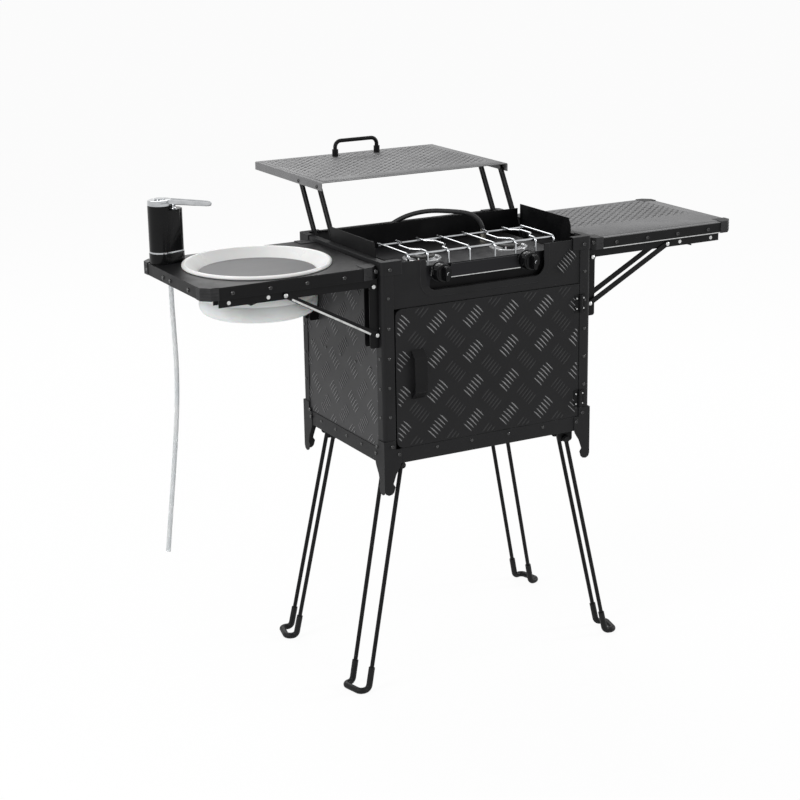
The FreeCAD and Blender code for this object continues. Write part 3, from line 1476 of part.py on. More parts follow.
def tap():
    base = two_lobes("TapBase", "tap_base_proud", "wing_top", "tap_base_top", "tap_base_top")
    nozzle = rod("HoseNozzle", "Z", "nozzle_radius", "wing_under - nozzle_length", "wing_top",
                 ("nozzle_offset", "0"))
    subpart("tap_base", [place_tap(join("TapBaseWithNozzle", [base, nozzle]))])
    ring = two_lobes("TapRing", "tap_ring_proud", "tap_base_top", "tap_ring_top", "tap_ring_top")
    subpart("tap_ring", [place_tap(ring)])
    tower = two_lobes("TapTower", "0", "tap_ring_top", "tap_top",
                      "tap_top - tap_lobe_step")
    subpart("tap_tower", [place_tap(tower)])
    head = new_body("TapHead")
    low = "tap_top + swivel_gap"
    high = "tap_top + tap_cap_height"
    spout_low = "tap_cap_height - spout_depth"
    pad(head, "Z", [("circle", "0", "0", "tap_radius")], low, high)
    pad(head, "Y", [[
        ("0", high + " - spout_depth"), ("0", high),
        ("tap_radius", high), ("spout_reach", high + " - spout_fall + spout_depth / 3"),
        ("spout_reach + spout_depth / 3", high + " - spout_fall - spout_depth / 6"),
        ("spout_reach - spout_depth / 3", high + " - spout_fall - spout_depth / 2"),
        ("tap_radius", "tap_top + swivel_gap + %s" % spout_low),
    ]], "-spout_width / 2", "spout_width / 2")
    for side in ("-", ""):
        edge_in, edge_out = side + "spout_width / 2", side + "spout_tip_width / 2"
        far = side + "spout_width"
        cut(head, "Z", [[("tap_radius", edge_in), ("spout_reach + overrun * 2", edge_out),
                         ("spout_reach + overrun * 2", far), ("tap_radius", far)]],
            "tap_top - overrun * 2", high + " + overrun")
    pad(head, "Z", [("circle", "tap_lobe_offset", "0", "spout_neck_radius")],
        "tap_top - tap_lobe_step + swivel_gap", low + " + %s" % spout_low)
    cut(head, "Z", [("circle", "0", "0", "button_radius + swivel_gap")],
        high + " - button_height", high + " + overrun")
    subpart("tap_head", [place_tap(head, turned=True)])
    button = rod("Button", "Z", "button_radius", high + " - button_height + button_rise",
                 high + " + button_rise", ("0", "0"))
    subpart("tap_button", [place_tap(button)])


# The water hose's route: down from the nozzle under the tap, then hanging free
WATER_ROUTE = (
    (-527, 85, 782), (-527, 85.2, 738), (-525.5, 85.6, 680), (-524, 86, 620), (-526, 85.6, 558),
    (-531, 85, 496), (-538, 84.6, 434), (-545.5, 84.4, 372), (-553, 84.6, 312), (-559.5, 85, 256),
)


def water_hose():
    points = [Vector(*point) for point in WATER_ROUTE]
    tube = loose_tube("water hose", points, measure("water_hose_radius"))
    subpart("water_hose", [formed("WaterHose", tube)])


# Lid shelf

def lid_panel():
    body = new_body("LidPanel")
    low = "lid_top - lid_flange"
    pad(body, "Y", [[
        ("-lid_half_width", low), ("-lid_inside", low), ("-lid_inside", "lid_under"),
        ("lid_inside", "lid_under"), ("lid_inside", low), ("lid_half_width", low),
        ("lid_half_width", "lid_top"), ("-lid_half_width", "lid_top"),
    ]], "lid_front", "lid_back")
    round_edges(body, "lid_bend", lambda way, middle: along(way, Y_AXIS)
                and near(middle.z, "lid_top"))
    pin_in = "arm_inside - pin_clearance * 4"
    pins = [body]
    for y in ("lid_pivot_y", "lid_pivot_y + arm_spread"):
        for sign in ("", "-"):
            ends = (pin_in, "lid_inside + panel_gap") if sign == "" else (
                "-(lid_inside + panel_gap)", opposite(pin_in))
            pins.append(rod("LidPin", "X", "arm_pin_radius", ends[0], ends[1],
                            (y, "lid_pivot_z")))
            heads = ("(%s) - arm_head_height" % pin_in, pin_in) if sign == "" else (
                opposite(pin_in), "-(%s) + arm_head_height" % pin_in)
            pins.append(rod("LidPinHead", "X", "arm_head_radius", heads[0], heads[1],
                            (y, "lid_pivot_z")))
    subpart("lid_panel", [join("LidWithPins", pins)])


def lid_handle():
    """A bent rod handle with a collar at each foot."""
    half = measure("handle_span / 2")
    x, y = measure("handle_x"), measure("handle_y")
    low, high = measure("lid_top"), measure("lid_top + handle_rise - handle_rod")
    corners = [Vector(x - half, y, low), Vector(x - half, y, high), Vector(x + half, y, high),
               Vector(x + half, y, low)]
    bend = measure("handle_bend")
    bow = swept(rounded_path(corners, [bend, bend]), measure("handle_rod"))
    collars = [Part.makeCylinder(measure("handle_collar"), measure("handle_collar_height"),
                                 Vector(x + side * half, y, low), Z_AXIS) for side in (-1, 1)]
    subpart("lid_handle", [formed("LidHandle", bow.multiFuse(collars))])


def arm(name, foot_y):
    """A flat arm with an eye at each end and a groove along each face, leaning back."""
    body = new_body(name)
    half = "arm_width / 2"
    faces = ("arm_inside", "arm_outside")
    pad(body, "X", [rectangle("-(%s)" % half, half, "0", "arm_length")], *faces)
    for z in ("0", "arm_length"):
        pad(body, "X", [("circle", "0", z, half)], *faces)
    groove = rectangle("-arm_groove / 2", "arm_groove / 2", "arm_width", "arm_length - arm_width")
    cut(body, "X", [groove], "arm_inside - overrun", "arm_inside + arm_groove_depth")
    cut(body, "X", [groove], "arm_outside - arm_groove_depth", "arm_outside + overrun")
    bore = "arm_pin_radius + pin_clearance"
    cut(body, "X", [("circle", "0", "0", bore), ("circle", "0", "arm_length", bore)],
        "arm_inside - overrun", "arm_outside + overrun")
    body.Placement = Placement(Vector(), Rotation(X_AXIS, -measure("arm_lean")))
    body.setExpression("Placement.Rotation.Angle", point_at_owner("-arm_lean"))
    body.setExpression("Placement.Base.y", point_at_owner(foot_y))
    body.setExpression("Placement.Base.z", point_at_owner("arm_foot_z"))
    return body


def arms():
    front = arm("FrontArm", "arm_foot_y")
    rear = arm("RearArm", "arm_foot_y + arm_spread")
    subpart("front_arms", [front, mirrored(front, X_AXIS)])
    subpart("rear_arms", [rear, mirrored(rear, X_AXIS)])


def arm_bosses():
    """Turned bosses on the side panels, each with the pin and head that hold an arm's foot."""
    pieces = []
    for y in ("arm_foot_y", "arm_foot_y + arm_spread"):
        centre = (y, "arm_foot_z")
        boss = rod("ArmBoss", "X", "arm_boss_radius", "arm_outside + pin_clearance * 4",
                   "side_inside", centre)
        pin = rod("ArmPin", "X", "arm_pin_radius", "arm_inside - pin_clearance * 4",
                  "side_inside", centre)
        head = rod("ArmPinHead", "X", "arm_head_radius",
                   "arm_inside - pin_clearance * 4 - arm_head_height",
                   "arm_inside - pin_clearance * 4", centre)
        piece = join("ArmBossWithPin", [boss, pin, head])
        pieces += [piece, mirrored(piece, X_AXIS)]
    subpart("arm_bosses", pieces)


def check_document():
    """Stop if a feature failed, a pocket cut nothing or a sub-part's shape is bad."""
    failed = []
    for thing in DOC.Objects:
        if "Invalid" in thing.State or "Error" in thing.State:
            failed.append("%s is in state %s" % (thing.Name, thing.State))
    if failed:
        raise RuntimeError("; ".join(failed))
    for before, after in CUTS:
        if after.Shape.Volume >= before.Shape.Volume - measure("panel_gap") ** 3:
            raise RuntimeError("%s cut nothing" % after.Name)
    for part in SUBPARTS:
        if part.Shape.isNull() or not part.Shape.isValid() or not part.Shape.Solids:
            raise RuntimeError("%s has a bad shape" % part.Label)


def main():
    fill_sheet()
    corner_posts()
    edge_rails()
    floor_panel()
    side_panels()
    back_panel()
    front_cover()
    middle_shelf()
    stove_tray()
    corner_brackets()
    corner_claws()
    door_panel()
    door_pull()
    door_hinges()
    wind_shields()
    stove_body()
    stove_fascia()
    burners()
    gas_pipes()
    gas_hose()
    knobs()
    pan_support()
    legs()
    leg_brackets()
    wall_rails()
    shelf_rails()
    stays()
    levers()
    worktops()
    basin()
    tap()
    water_hose()
    lid_panel()
    lid_handle()
    arms()
    arm_bosses()
    DOC.recompute()
    check_document()
    os.makedirs("parts", exist_ok=True)
    for part in SUBPARTS:
        part.Shape.exportStep(os.path.join("parts", part.Label + ".step"))
    print("%d sub-parts written" % len(SUBPARTS))


main()
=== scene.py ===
"""Dresses the folding camping kitchen: finishes for every solid of the frame, and the pieces that
the solids leave out, such as tread bars, rivets, dimpled sheets, hoses, bowl, knobs and burners.

Each piece is worked out in millimetres from the middle of the cabinet (X right, Y back, Z up);
metres() takes it to the frame's own origin.
"""
import math
import bmesh
import bpy
import numpy as np
from mathutils import Matrix, Vector


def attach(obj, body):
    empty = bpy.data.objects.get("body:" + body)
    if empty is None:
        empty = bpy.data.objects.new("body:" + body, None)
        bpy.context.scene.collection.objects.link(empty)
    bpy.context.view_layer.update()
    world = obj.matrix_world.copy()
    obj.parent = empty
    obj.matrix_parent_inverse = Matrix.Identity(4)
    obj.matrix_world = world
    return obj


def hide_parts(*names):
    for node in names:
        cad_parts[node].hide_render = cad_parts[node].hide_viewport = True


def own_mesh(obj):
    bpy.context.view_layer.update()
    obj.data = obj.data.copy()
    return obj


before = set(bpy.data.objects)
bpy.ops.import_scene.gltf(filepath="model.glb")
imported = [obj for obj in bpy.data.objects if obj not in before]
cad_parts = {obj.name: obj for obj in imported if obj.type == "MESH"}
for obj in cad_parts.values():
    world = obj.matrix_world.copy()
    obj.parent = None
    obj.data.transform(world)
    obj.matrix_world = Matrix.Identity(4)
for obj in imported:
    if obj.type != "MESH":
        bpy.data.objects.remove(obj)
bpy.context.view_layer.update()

bl_info = {
    "name": "Folding camping kitchen",
    "version": (1, 0, 0),
    "blender": (4, 5, 0),
    "location": "View3D > Sidebar > Kitchen",
    "description": "Finishes and fittings of a folding camping kitchen",
    "category": "Add Mesh",
}

MM = 0.001
MIDDLE = np.array((0.0, -107.0, 0.0))
X, Y, Z = np.eye(3)
FRONT, BACK, LEFT, RIGHT = -Y, Y, -X, X
FINISHES = {}
BURNERS_X = (-100, 88)                    # the burners, and the knobs before them
TAP = (-541, 85, 0)                       # the middle of the tap's large round
TAP_LARGE, TAP_SMALL, TAP_REACH = 22.4, 15, 27    # both rounds, and how far apart they are
BAR_STATIONS, BAR_POINTS = 7, 6           # rings of a tread bar, and points of each ring
SHORTEST_BAR = 7                          # a tread bar cut shorter is left off
HEAD_SINK, STRIP_SINK = 0.4, 0.3          # how deep heads and strips go into their sheet

# Slot and finish of the pieces that share both
BLACK_STEEL = ("black_powder_coat", "black_oxide_steel")
ZINC = ("chrome_plate", "zinc_plate")
CHROME = ("chrome_plate", "bright_chrome_plate")
GLOSS_BLACK = ("black_plastic", "gloss_black_plastic")


def linear(code):
    """An sRGB hex colour as linear red, green, blue and alpha."""
    shares = [int(code[i:i + 2], 16) / 255 for i in (0, 2, 4)]
    return [s / 12.92 if s <= 0.04045 else ((s + 0.055) / 1.055) ** 2.4 for s in shares] + [1.0]


def colour_property(name, code, description):
    """A colour that the panel offers, with the hex value as its default."""
    return bpy.props.FloatVectorProperty(name=name, description=description, subtype="COLOR",
                                         size=4, min=0, max=1, default=linear(code))


def length_property(name, millimetres, description):
    """A length that the panel offers, in metres."""
    return bpy.props.FloatProperty(name=name, description=description, subtype="DISTANCE",
                                   unit="LENGTH", default=millimetres * MM, min=0.0001)


class KitchenColours(bpy.types.PropertyGroup):
    """Colours of the painted, moulded and rubber parts."""
    body: colour_property("Body coat", "1a1a1b", "Charcoal powder coat of the cabinet")
    # Side coat: the body coat painted paler, as painted light on the side and back plates
    side: colour_property("Side coat", "343435", "Powder coat of the side and back plates")
    trim: colour_property("Trim coat", "0d0d0e", "Black coat of frames, rails, stays and legs")
    shelf: colour_property("Shelf coat", "767677", "Grey powder coat of lid and right worktop")
    shield: colour_property("Shield coat", "0a0a0b", "Heatproof black of the wind shields")
    rim: colour_property("Basin rim", "f1f1f0", "White moulded rim of the basin")
    bowl: colour_property("Bowl", "f2f2f1", "Milky silicone of the bowl")
    drain: colour_property("Basin floor", "59595a", "Grey moulded floor of the basin")


class KitchenSizes(bpy.types.PropertyGroup):
    """Sizes of the repeated details."""
    bar_length: length_property("Tread bar length", 27, "Length of one raised tread bar")
    bar_pitch: length_property("Tread bar pitch", 7.4, "Distance between bars of one group")
    rivet_radius: length_property("Rivet radius", 3.3, "Radius of a body rivet's head")
    dimple_pitch_x: length_property("Dimple pitch across", 17.95, "Distance between dimples in X")
    dimple_pitch_y: length_property("Dimple pitch back", 16.45, "Distance between dimples in Y")
    dimple_radius: length_property("Dimple radius", 2.3, "Radius of one pressed dimple")
    hose_radius: length_property("Hose radius", 4.5, "Radius of the gas and the water hose")


# ---- Surfaces ------------------------------------------------------------------------------

def metres(points):
    """Cabinet millimetres to the frame's metres."""
    return (np.asarray(points, float) + MIDDLE) * MM


def turned(normal, up=Z):
    """Columns right, up and out of a face that looks along normal."""
    return np.stack((np.cross(up, normal), up, normal), axis=1)


def grid(rows, columns, ring_rows=False, ring_columns=False):
    """Quads of a grid of points; a ring joins its last row or column to the first."""
    row, column = np.meshgrid(np.arange(rows if ring_rows else rows - 1),
                              np.arange(columns if ring_columns else columns - 1), indexing="ij")
    row, column = row.ravel(), column.ravel()
    after, beside = (row + 1) % rows, (column + 1) % columns
    return np.stack((row * columns + column, after * columns + column,
                     after * columns + beside, row * columns + beside), axis=1)


def repeat(shape, turns, places):
    """One shape at many places: each copy is the shape turned by its matrix, then moved."""
    points, faces = shape
    turns = np.broadcast_to(turns, (len(places), 3, 3))
    copies = np.einsum("kij,nj->kni", turns, points) + np.asarray(places, float)[:, None]
    shifts = np.arange(len(places))[:, None, None] * len(points)
    return copies.reshape(-1, 3), (faces[None] + shifts).reshape(-1, faces.shape[1])


def together(*shapes):
    """Several shapes as one list of points and faces."""
    counts = np.cumsum([0] + [len(points) for points, faces in shapes[:-1]])
    return (np.concatenate([points for points, faces in shapes]),
            np.concatenate([faces + shift for (points, faces), shift in zip(shapes, counts)]))


def revolved(profile, turns=48, ring=False):
    """A profile of radius and height carried round Z: x = r cos t, y = r sin t. A ring's profile
    is a closed one."""
    profile = np.asarray(profile, float)
    angle = np.linspace(0, 2 * math.pi, turns, endpoint=False)
    points = np.stack((profile[:, :1] * np.cos(angle), profile[:, :1] * np.sin(angle),
                       np.repeat(profile[:, 1:], turns, axis=1)), axis=-1)
    return points.reshape(-1, 3), grid(len(profile), turns, ring_rows=ring, ring_columns=True)


def capped(rings):
    """Rings of points joined one to the next, with each end closed to its middle."""
    rings = np.asarray(rings, float)
    ends = np.repeat(rings[[0, -1]].mean(1, keepdims=True), rings.shape[1], axis=1)
    rings = np.concatenate((ends[:1], rings, ends[1:]))
    return rings.reshape(-1, 3), grid(len(rings), rings.shape[1], ring_columns=True)


def swept(path, section, side, ring=False, swell=1.0):
    """A flat section carried along a path: each ring is the path's point plus the section's first
    number across (tangent x side) and its second along side, both times swell at that point."""
    path, section = np.asarray(path, float), np.asarray(section, float)
    tangent = np.roll(path, -1, 0) - np.roll(path, 1, 0) if ring else np.gradient(path, axis=0)
    tangent /= np.linalg.norm(tangent, axis=1, keepdims=True)
    side = np.broadcast_to(side, path.shape)
    side = side - (side * tangent).sum(1, keepdims=True) * tangent
    side = side / np.linalg.norm(side, axis=1, keepdims=True)
    across = np.cross(tangent, side)
    swell = np.broadcast_to(swell, len(path))[:, None, None]
    rings = path[:, None] + swell * (across[:, None] * section[None, :, :1]
                                     + side[:, None] * section[None, :, 1:])
    if ring:
        return rings.reshape(-1, 3), grid(len(rings), len(section), True, True)
    return capped(rings)


def strip(start, end, normal, width, rise):
    """A flat bar from start to end on a face: a width across and a rise above it."""
    start, end, normal = (np.asarray(part, float) for part in (start, end, normal))
    side = np.cross(normal, end - start)
    side /= np.linalg.norm(side)
    section = np.array((-0.5, 0.5, 0.5, -0.5))[:, None] * side * width
    section = section + np.array((-STRIP_SINK, -STRIP_SINK, rise, rise))[:, None] * normal
    return capped(np.stack((start + section, end + section)))


def polar(radius, angle):
    """Flat points from their radius and angle."""
    return np.stack((radius * np.cos(angle), radius * np.sin(angle)), axis=-1)


def circle(radius, sides=12):
    """Points of a round section."""
    return polar(radius, np.linspace(0, 2 * math.pi, sides, endpoint=False))


def lifted(plan, height=0.0):
    """Flat points raised to a height."""
    return np.concatenate((plan, np.full((len(plan), 1), height)), axis=1)


def moved(shape, turn=np.eye(3), place=(0, 0, 0)):
    """A shape turned by a matrix, then moved."""
    return shape[0] @ np.asarray(turn).T + np.asarray(place, float), shape[1]


def shown(name, data):
    """A new object of the scene that holds the data."""
    made = bpy.data.objects.new(name, data)
    bpy.context.scene.collection.objects.link(made)
    return made


def cleaned(mesh, sheet=False):
    """Merges a mesh's poles and turns its faces outwards; a sheet's faces look up."""
    work = bmesh.new()
    work.from_mesh(mesh)
    bmesh.ops.remove_doubles(work, verts=work.verts, dist=2e-6)
    if not sheet:
        bmesh.ops.dissolve_degenerate(work, edges=work.edges, dist=1e-7)
    bmesh.ops.recalc_face_normals(work, faces=work.faces)
    if sheet and sum(face.normal.z for face in work.faces) < 0:
        bmesh.ops.reverse_faces(work, faces=work.faces)
    work.to_mesh(mesh)
    work.free()


def piece(name, shape, body, slot, finish, stands_for=(), weld=True, sharp=35):
    """Puts a shape into a mesh, with its poles merged and its faces outwards where weld is set,
    and rides it on a body."""
    points, faces = shape
    mesh = bpy.data.meshes.new(name)
    mesh.from_pydata(metres(points), [], faces.tolist())
    if weld:
        cleaned(mesh)
    mesh.polygons.foreach_set("use_smooth", np.ones(len(mesh.polygons), bool))
    mesh.set_sharp_from_angle(angle=math.radians(sharp))
    mesh.update()
    made = shown(name, mesh)
    mesh.materials.append(FINISHES[finish])
    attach(made, body)
    if stands_for:
        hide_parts(*stands_for)
    return made


def patterned(name, shape, body, slot, finish, share, values, sheet=False):
    """A piece that keeps a share from 0 to 1 for each point, which its finish paints."""
    made = piece(name, shape, body, slot, finish, weld=False, sharp=60 if sheet else 35)
    layer = made.data.attributes.new(share, "FLOAT", "POINT")
    layer.data.foreach_set("value", np.asarray(values, np.float32))
    cleaned(made.data, sheet)


# ---- Finishes ------------------------------------------------------------------------------

def add(tree, kind, links=None, **settings):
    """Adds a node; settings are its own properties, and links give its inputs values or nodes."""
    node = tree.nodes.new(kind)
    for key, value in settings.items():
        setattr(node, key, value)
    for socket, value in (links or {}).items():
        source = value.outputs[0] if isinstance(value, bpy.types.Node) else value
        if isinstance(source, bpy.types.NodeSocket):
            tree.links.new(source, node.inputs[socket])
        else:
            node.inputs[socket].default_value = source
    return node


def finish(name, colour, other, patch, grain, depth, rough, swing=0.05, stretch=(1, 1, 1),
           edge=None, mask=None, **constants):
    """A finish from real sizes in millimetres: colour drifts to other over patches, roughness
    swings over the same patches, and grain of the given size and depth lifts the surface. An edge
    (colour, width) is a painted highlight, partly edge wear, on convex edges, and a mask
    (attribute, colour) paints a pattern."""
    made = bpy.data.materials.new(name)
    made.use_nodes = True
    tree = made.node_tree
    shader = tree.nodes["Principled BSDF"]
    place = add(tree, "ShaderNodeMapping", {"Scale": stretch, "Vector":
                add(tree, "ShaderNodeTexCoord").outputs["Object"]})
    patches = add(tree, "ShaderNodeTexNoise", {"Vector": place, "Scale": 1 / (patch * MM),
                                               "Detail": 6.0, "Roughness": 0.6})
    drift = add(tree, "ShaderNodeMapRange", {"Value": patches, "From Min": 0.35, "From Max": 0.65})
    shade = add(tree, "ShaderNodeMix", {0: drift, 6: painted(colour), 7: painted(other)},
                data_type="RGBA")
    if mask:
        pattern = add(tree, "ShaderNodeAttribute", attribute_name=mask[0])
        shade = add(tree, "ShaderNodeMix", {0: pattern.outputs["Fac"], 6: shade.outputs[2],
                                            7: painted(mask[1])}, data_type="RGBA")
    swinging = add(tree, "ShaderNodeMapRange", {"Value": patches, "From Min": 0.3, "From Max": 0.7,
                                                "To Min": rough - swing, "To Max": rough + swing})
    lift = add(tree, "ShaderNodeTexNoise", {"Vector": place, "Scale": 1 / (grain * MM),
                                            "Detail": 3.0, "Roughness": 0.55})
    bump = {"Height": lift, "Distance": depth * MM, "Strength": 1.0}
    if edge:
        eased = add(tree, "ShaderNodeBevel", {"Radius": edge[1] * MM}, samples=4)
        flat = add(tree, "ShaderNodeNewGeometry")
        turn = add(tree, "ShaderNodeVectorMath", {0: eased, 1: flat.outputs["Normal"]},
                   operation="DOT_PRODUCT")
        # The edge colour is a painted highlight along convex edges, partly edge wear, stronger in
        # some patches
        highlight_share = add(tree, "ShaderNodeMapRange", {"Value": turn.outputs["Value"], "From Min": 0.985,
                                                "From Max": 0.9, "To Max": 0.8})
        edge_wear_and_highlight = add(tree, "ShaderNodeMath", {0: highlight_share, 1: drift}, operation="MULTIPLY")
        shade = add(tree, "ShaderNodeMix", {0: edge_wear_and_highlight, 6: shade.outputs[2],
                                            7: painted(edge[0])}, data_type="RGBA")
        bump["Normal"] = eased
    tree.links.new(shade.outputs[2], shader.inputs["Base Color"])
    tree.links.new(swinging.outputs[0], shader.inputs["Roughness"])
    tree.links.new(add(tree, "ShaderNodeBump", bump).outputs[0], shader.inputs["Normal"])
    for socket, value in constants.items():
        shader.inputs[socket.replace("_", " ")].default_value = value
    FINISHES[name] = made


def painted(colour):
    """A hex code or one of the panel's colours as linear numbers."""
    return linear(colour) if isinstance(colour, str) else list(colour)


def shade_of(colour, share):
    """A colour with its three parts scaled by a share."""
    return [min(1.0, part * share) for part in colour[:3]] + [1.0]


def make_finishes(colours):
    """Every material of the kitchen, each from what the real one is."""
    body, side, trim = colours.body, colours.side, colours.trim
    shelf, drain = colours.shelf, colours.drain
    # Textured powder coat on steel: orange peel of about 0.8 mm, drawn at 2.2 mm to show; its
    # paler edge colour is a painted highlight, partly edge wear
    finish("textured_powder_coat", body, shade_of(body, 1.25), 60, 2.2, 0.10, 0.5, 0.06,
           edge=("48484a", 1.2), Specular_IOR_Level=0.16)
    # The same coat on the side and back plates, painted paler as painted light for their brighter
    # look; its paler edge colour is a painted highlight, partly edge wear
    finish("lit_side_powder_coat", side, shade_of(side, 1.2), 70, 2.2, 0.10, 0.5, 0.06, edge=("707072",
           1.2), Specular_IOR_Level=0.2)
    # The same coat on the tread bars, with a painted highlight along their crests, stronger on
    # bars of one lean
    finish("crest_highlight_powder_coat", shade_of(body, 0.8), shade_of(body, 1.4), 30, 2.0, 0.06, 0.4,
           0.06, mask=("crest", "a6a6a8"), Specular_IOR_Level=0.3)
    # Satin black coat of frames, rails and wire: nearly smooth, 0.5 mm grain drawn at 1.5 mm; its
    # paler edge colour is a painted highlight, partly edge wear
    finish("satin_black_coat", trim, shade_of(trim, 1.5), 40, 1.5, 0.05, 0.44, 0.06,
           edge=("3c3c3e", 0.8), Specular_IOR_Level=0.14)
    # Grey powder coat on lid and worktop, with painted shadow darkening the pressed dimples; its
    # paler edge colour is a painted highlight, partly edge wear
    finish("grey_powder_coat", shelf, shade_of(shelf, 0.88), 90, 2.0, 0.06, 0.5, 0.06,
           edge=("a8a8a8", 1.0), mask=("dimple", "161617"), Specular_IOR_Level=0.2)
    # Heatproof enamel baked on thin sheet: deep black, silky, faint waviness over 30 mm; its paler
    # edge colour is a painted highlight, partly edge wear
    finish("baked_black_enamel", colours.shield, "121213", 45, 30, 0.25, 0.42, 0.06,
           edge=("343436", 0.8), Specular_IOR_Level=0.1)
    # Brushed and blackened stove sheet: lines of 0.4 mm along X, drawn at 1.2 mm; its paler edge
    # colour is a painted highlight, partly edge wear
    finish("brushed_dark_steel", "2a2a2c", "222224", 50, 1.2, 0.05, 0.4, 0.08, stretch=(0.04, 1,
           1), edge=("6a6a6c", 1.0), Metallic=0.85)
    # Bright nickel-chrome plate: near mirror, with faint pickling haze
    finish("bright_chrome_plate", "c2c4c6", "aeb0b2", 12, 1.5, 0.01, 0.12, 0.04, Metallic=1.0)
    # Zinc-plated rivets and pins: paler and duller than chrome
    finish("zinc_plate", "d8d9d8", "b4b5b4", 6, 0.8, 0.02, 0.3, 0.08, Metallic=1.0)
    # Nickel plate on turned brass fittings, yellowish where it is thin
    finish("nickelled_brass", "b6b3aa", "a09a86", 8, 0.9, 0.01, 0.26, 0.07, Metallic=1.0)
    # Blackened steel of bolts and rivets, oiled: small sharp glints
    finish("black_oxide_steel", "101011", "1a1a1b", 4, 0.8, 0.01, 0.2, 0.05,
           Specular_IOR_Level=0.7)
    # Deep-drawn aluminium of the burner pans: bright, with turning rings of 1.5 mm
    finish("turned_aluminium", "d8d9da", "bfc0c1", 14, 1.5, 0.03, 0.32, 0.06, Metallic=0.6)
    # Cast burner head, heat-blackened iron with grains of about 1 mm
    finish("cast_burner_iron", "4a4a4a", "323231", 10, 1.1, 0.12, 0.5, 0.08, Metallic=0.7)
    # Gloss black ABS of knobs and tap: near flawless mouldings
    finish("gloss_black_plastic", "0b0b0c", "101011", 40, 6, 0.006, 0.2, 0.04,
           Specular_IOR_Level=0.16)
    # Matt glass-filled nylon of the corner guards: spark-eroded grain 0.6 mm, drawn at 1.6 mm; its
    # paler edge colour is a painted highlight, partly edge wear
    finish("moulded_guard_nylon", "262627", "303031", 20, 1.6, 0.09, 0.55, 0.06, edge=("525254",
           0.8), Specular_IOR_Level=0.2)
    # Soft vinyl foot sleeves
    finish("dipped_foot_vinyl", "0e0e0f", "171718", 15, 1.4, 0.05, 0.5, 0.08,
           Specular_IOR_Level=0.2)
    # Ribbed rubber gas hose
    finish("ribbed_hose_rubber", "2a2a2b", "1f1f20", 6, 1.2, 0.08, 0.42, 0.06,
           Specular_IOR_Level=0.3)
    # Clear PVC tube clouded by wall thickness
    finish("clear_pvc_tube", "f4f5f5", "e8ecee", 30, 8, 0.03, 0.2, 0.05, Transmission_Weight=0.5,
           IOR=1.52)
    # Gloss white polypropylene rim
    finish("moulded_white_plastic", colours.rim, shade_of(colours.rim, 0.94), 70, 9, 0.01, 0.3,
           0.05, Subsurface_Weight=0.08, Subsurface_Scale=0.002)
    # Milky silicone bowl, soft and slightly clouded
    finish("cast_milky_silicone", colours.bowl, shade_of(colours.bowl, 0.93), 40, 5, 0.03, 0.42,
           0.05, Transmission_Weight=0.12, IOR=1.41, Subsurface_Weight=0.2, Subsurface_Scale=0.006)
    # Grey moulded floor of the basin, with drag lines along X
    finish("moulded_grey_plastic", drain, shade_of(drain, 1.25), 26, 2.5, 0.03, 0.4, 0.06,
           stretch=(0.25, 1, 1), Specular_IOR_Level=0.12)


NODE_FINISHES = {
    "textured_powder_coat": (
        "corner_posts edge_rails floor_panel front_cover middle_shelf stove_tray corner_brackets "
        "corner_claws leg_brackets arm_bosses door_panel"),
    "lit_side_powder_coat": "left_side_panel right_side_panel back_panel",
    "satin_black_coat": (
        "post_hinge_leaves door_hinge_leaves door_pull wall_rails left_wing_frame left_wing_top "
        "right_wing_frame left_shelf_rails right_shelf_rails left_stays right_stays left_levers "
        "right_levers lid_handle rear_arms front_arms front_left_leg front_right_leg "
        "back_left_leg back_right_leg"),
    "grey_powder_coat": "lid_panel right_wing_top",
    "baked_black_enamel": "wind_shields",
    "brushed_dark_steel": "stove_body stove_fascia",
    "bright_chrome_plate": "pan_support tap_button",
    "nickelled_brass": "gas_pipes",
    "moulded_guard_nylon": "left_corner_guards right_corner_guards",
    "dipped_foot_vinyl": ("front_left_leg_foot front_right_leg_foot back_left_leg_foot "
                          "back_right_leg_foot"),
    "moulded_grey_plastic": "basin_floor",
}


# ---- Details -------------------------------------------------------------------------------

def rivet(radius, rise, sides=10):
    """A domed head: height = rise sqrt(1 - (r / radius)^2), on a short straight edge."""
    share = np.array((0.0, 0.35, 0.66, 0.88, 1.0, 1.0, 0.0))
    height = rise * np.sqrt(1 - share ** 2) * 0.75 + 0.25 * rise
    height[5:] = -HEAD_SINK
    return revolved(np.stack((share * radius, height), axis=1), sides)


def screw(radius, rise, sides=12):
    """A pan head with a hollow drive in its middle."""
    return revolved(((0, rise * 0.45), (radius * 0.3, rise * 0.45), (radius * 0.42, rise),
                     (radius * 0.8, rise), (radius, rise * 0.5), (radius, -HEAD_SINK),
                     (0, -HEAD_SINK)), sides)


def tread_bar(length, width, rise):
    """A raised bar pointed at both ends: half width and height follow sqrt(1 - (2u - 1)^2)."""
    along = np.linspace(-1, 1, BAR_STATIONS)
    swell = np.sqrt(1 - along ** 2)[:, None]
    across = np.array((1.0, 0.45, 0.12, -0.45, -1.0, 0.0))
    up = np.array((0.0, 0.75, 1.0, 0.75, 0.0, -0.25))
    points = np.stack((np.repeat(along[:, None] * length / 2, BAR_POINTS, axis=1),
                       across * width / 2 * swell, up * rise * swell), axis=-1)
    return points.reshape(-1, 3), grid(BAR_STATIONS, BAR_POINTS, ring_columns=True)


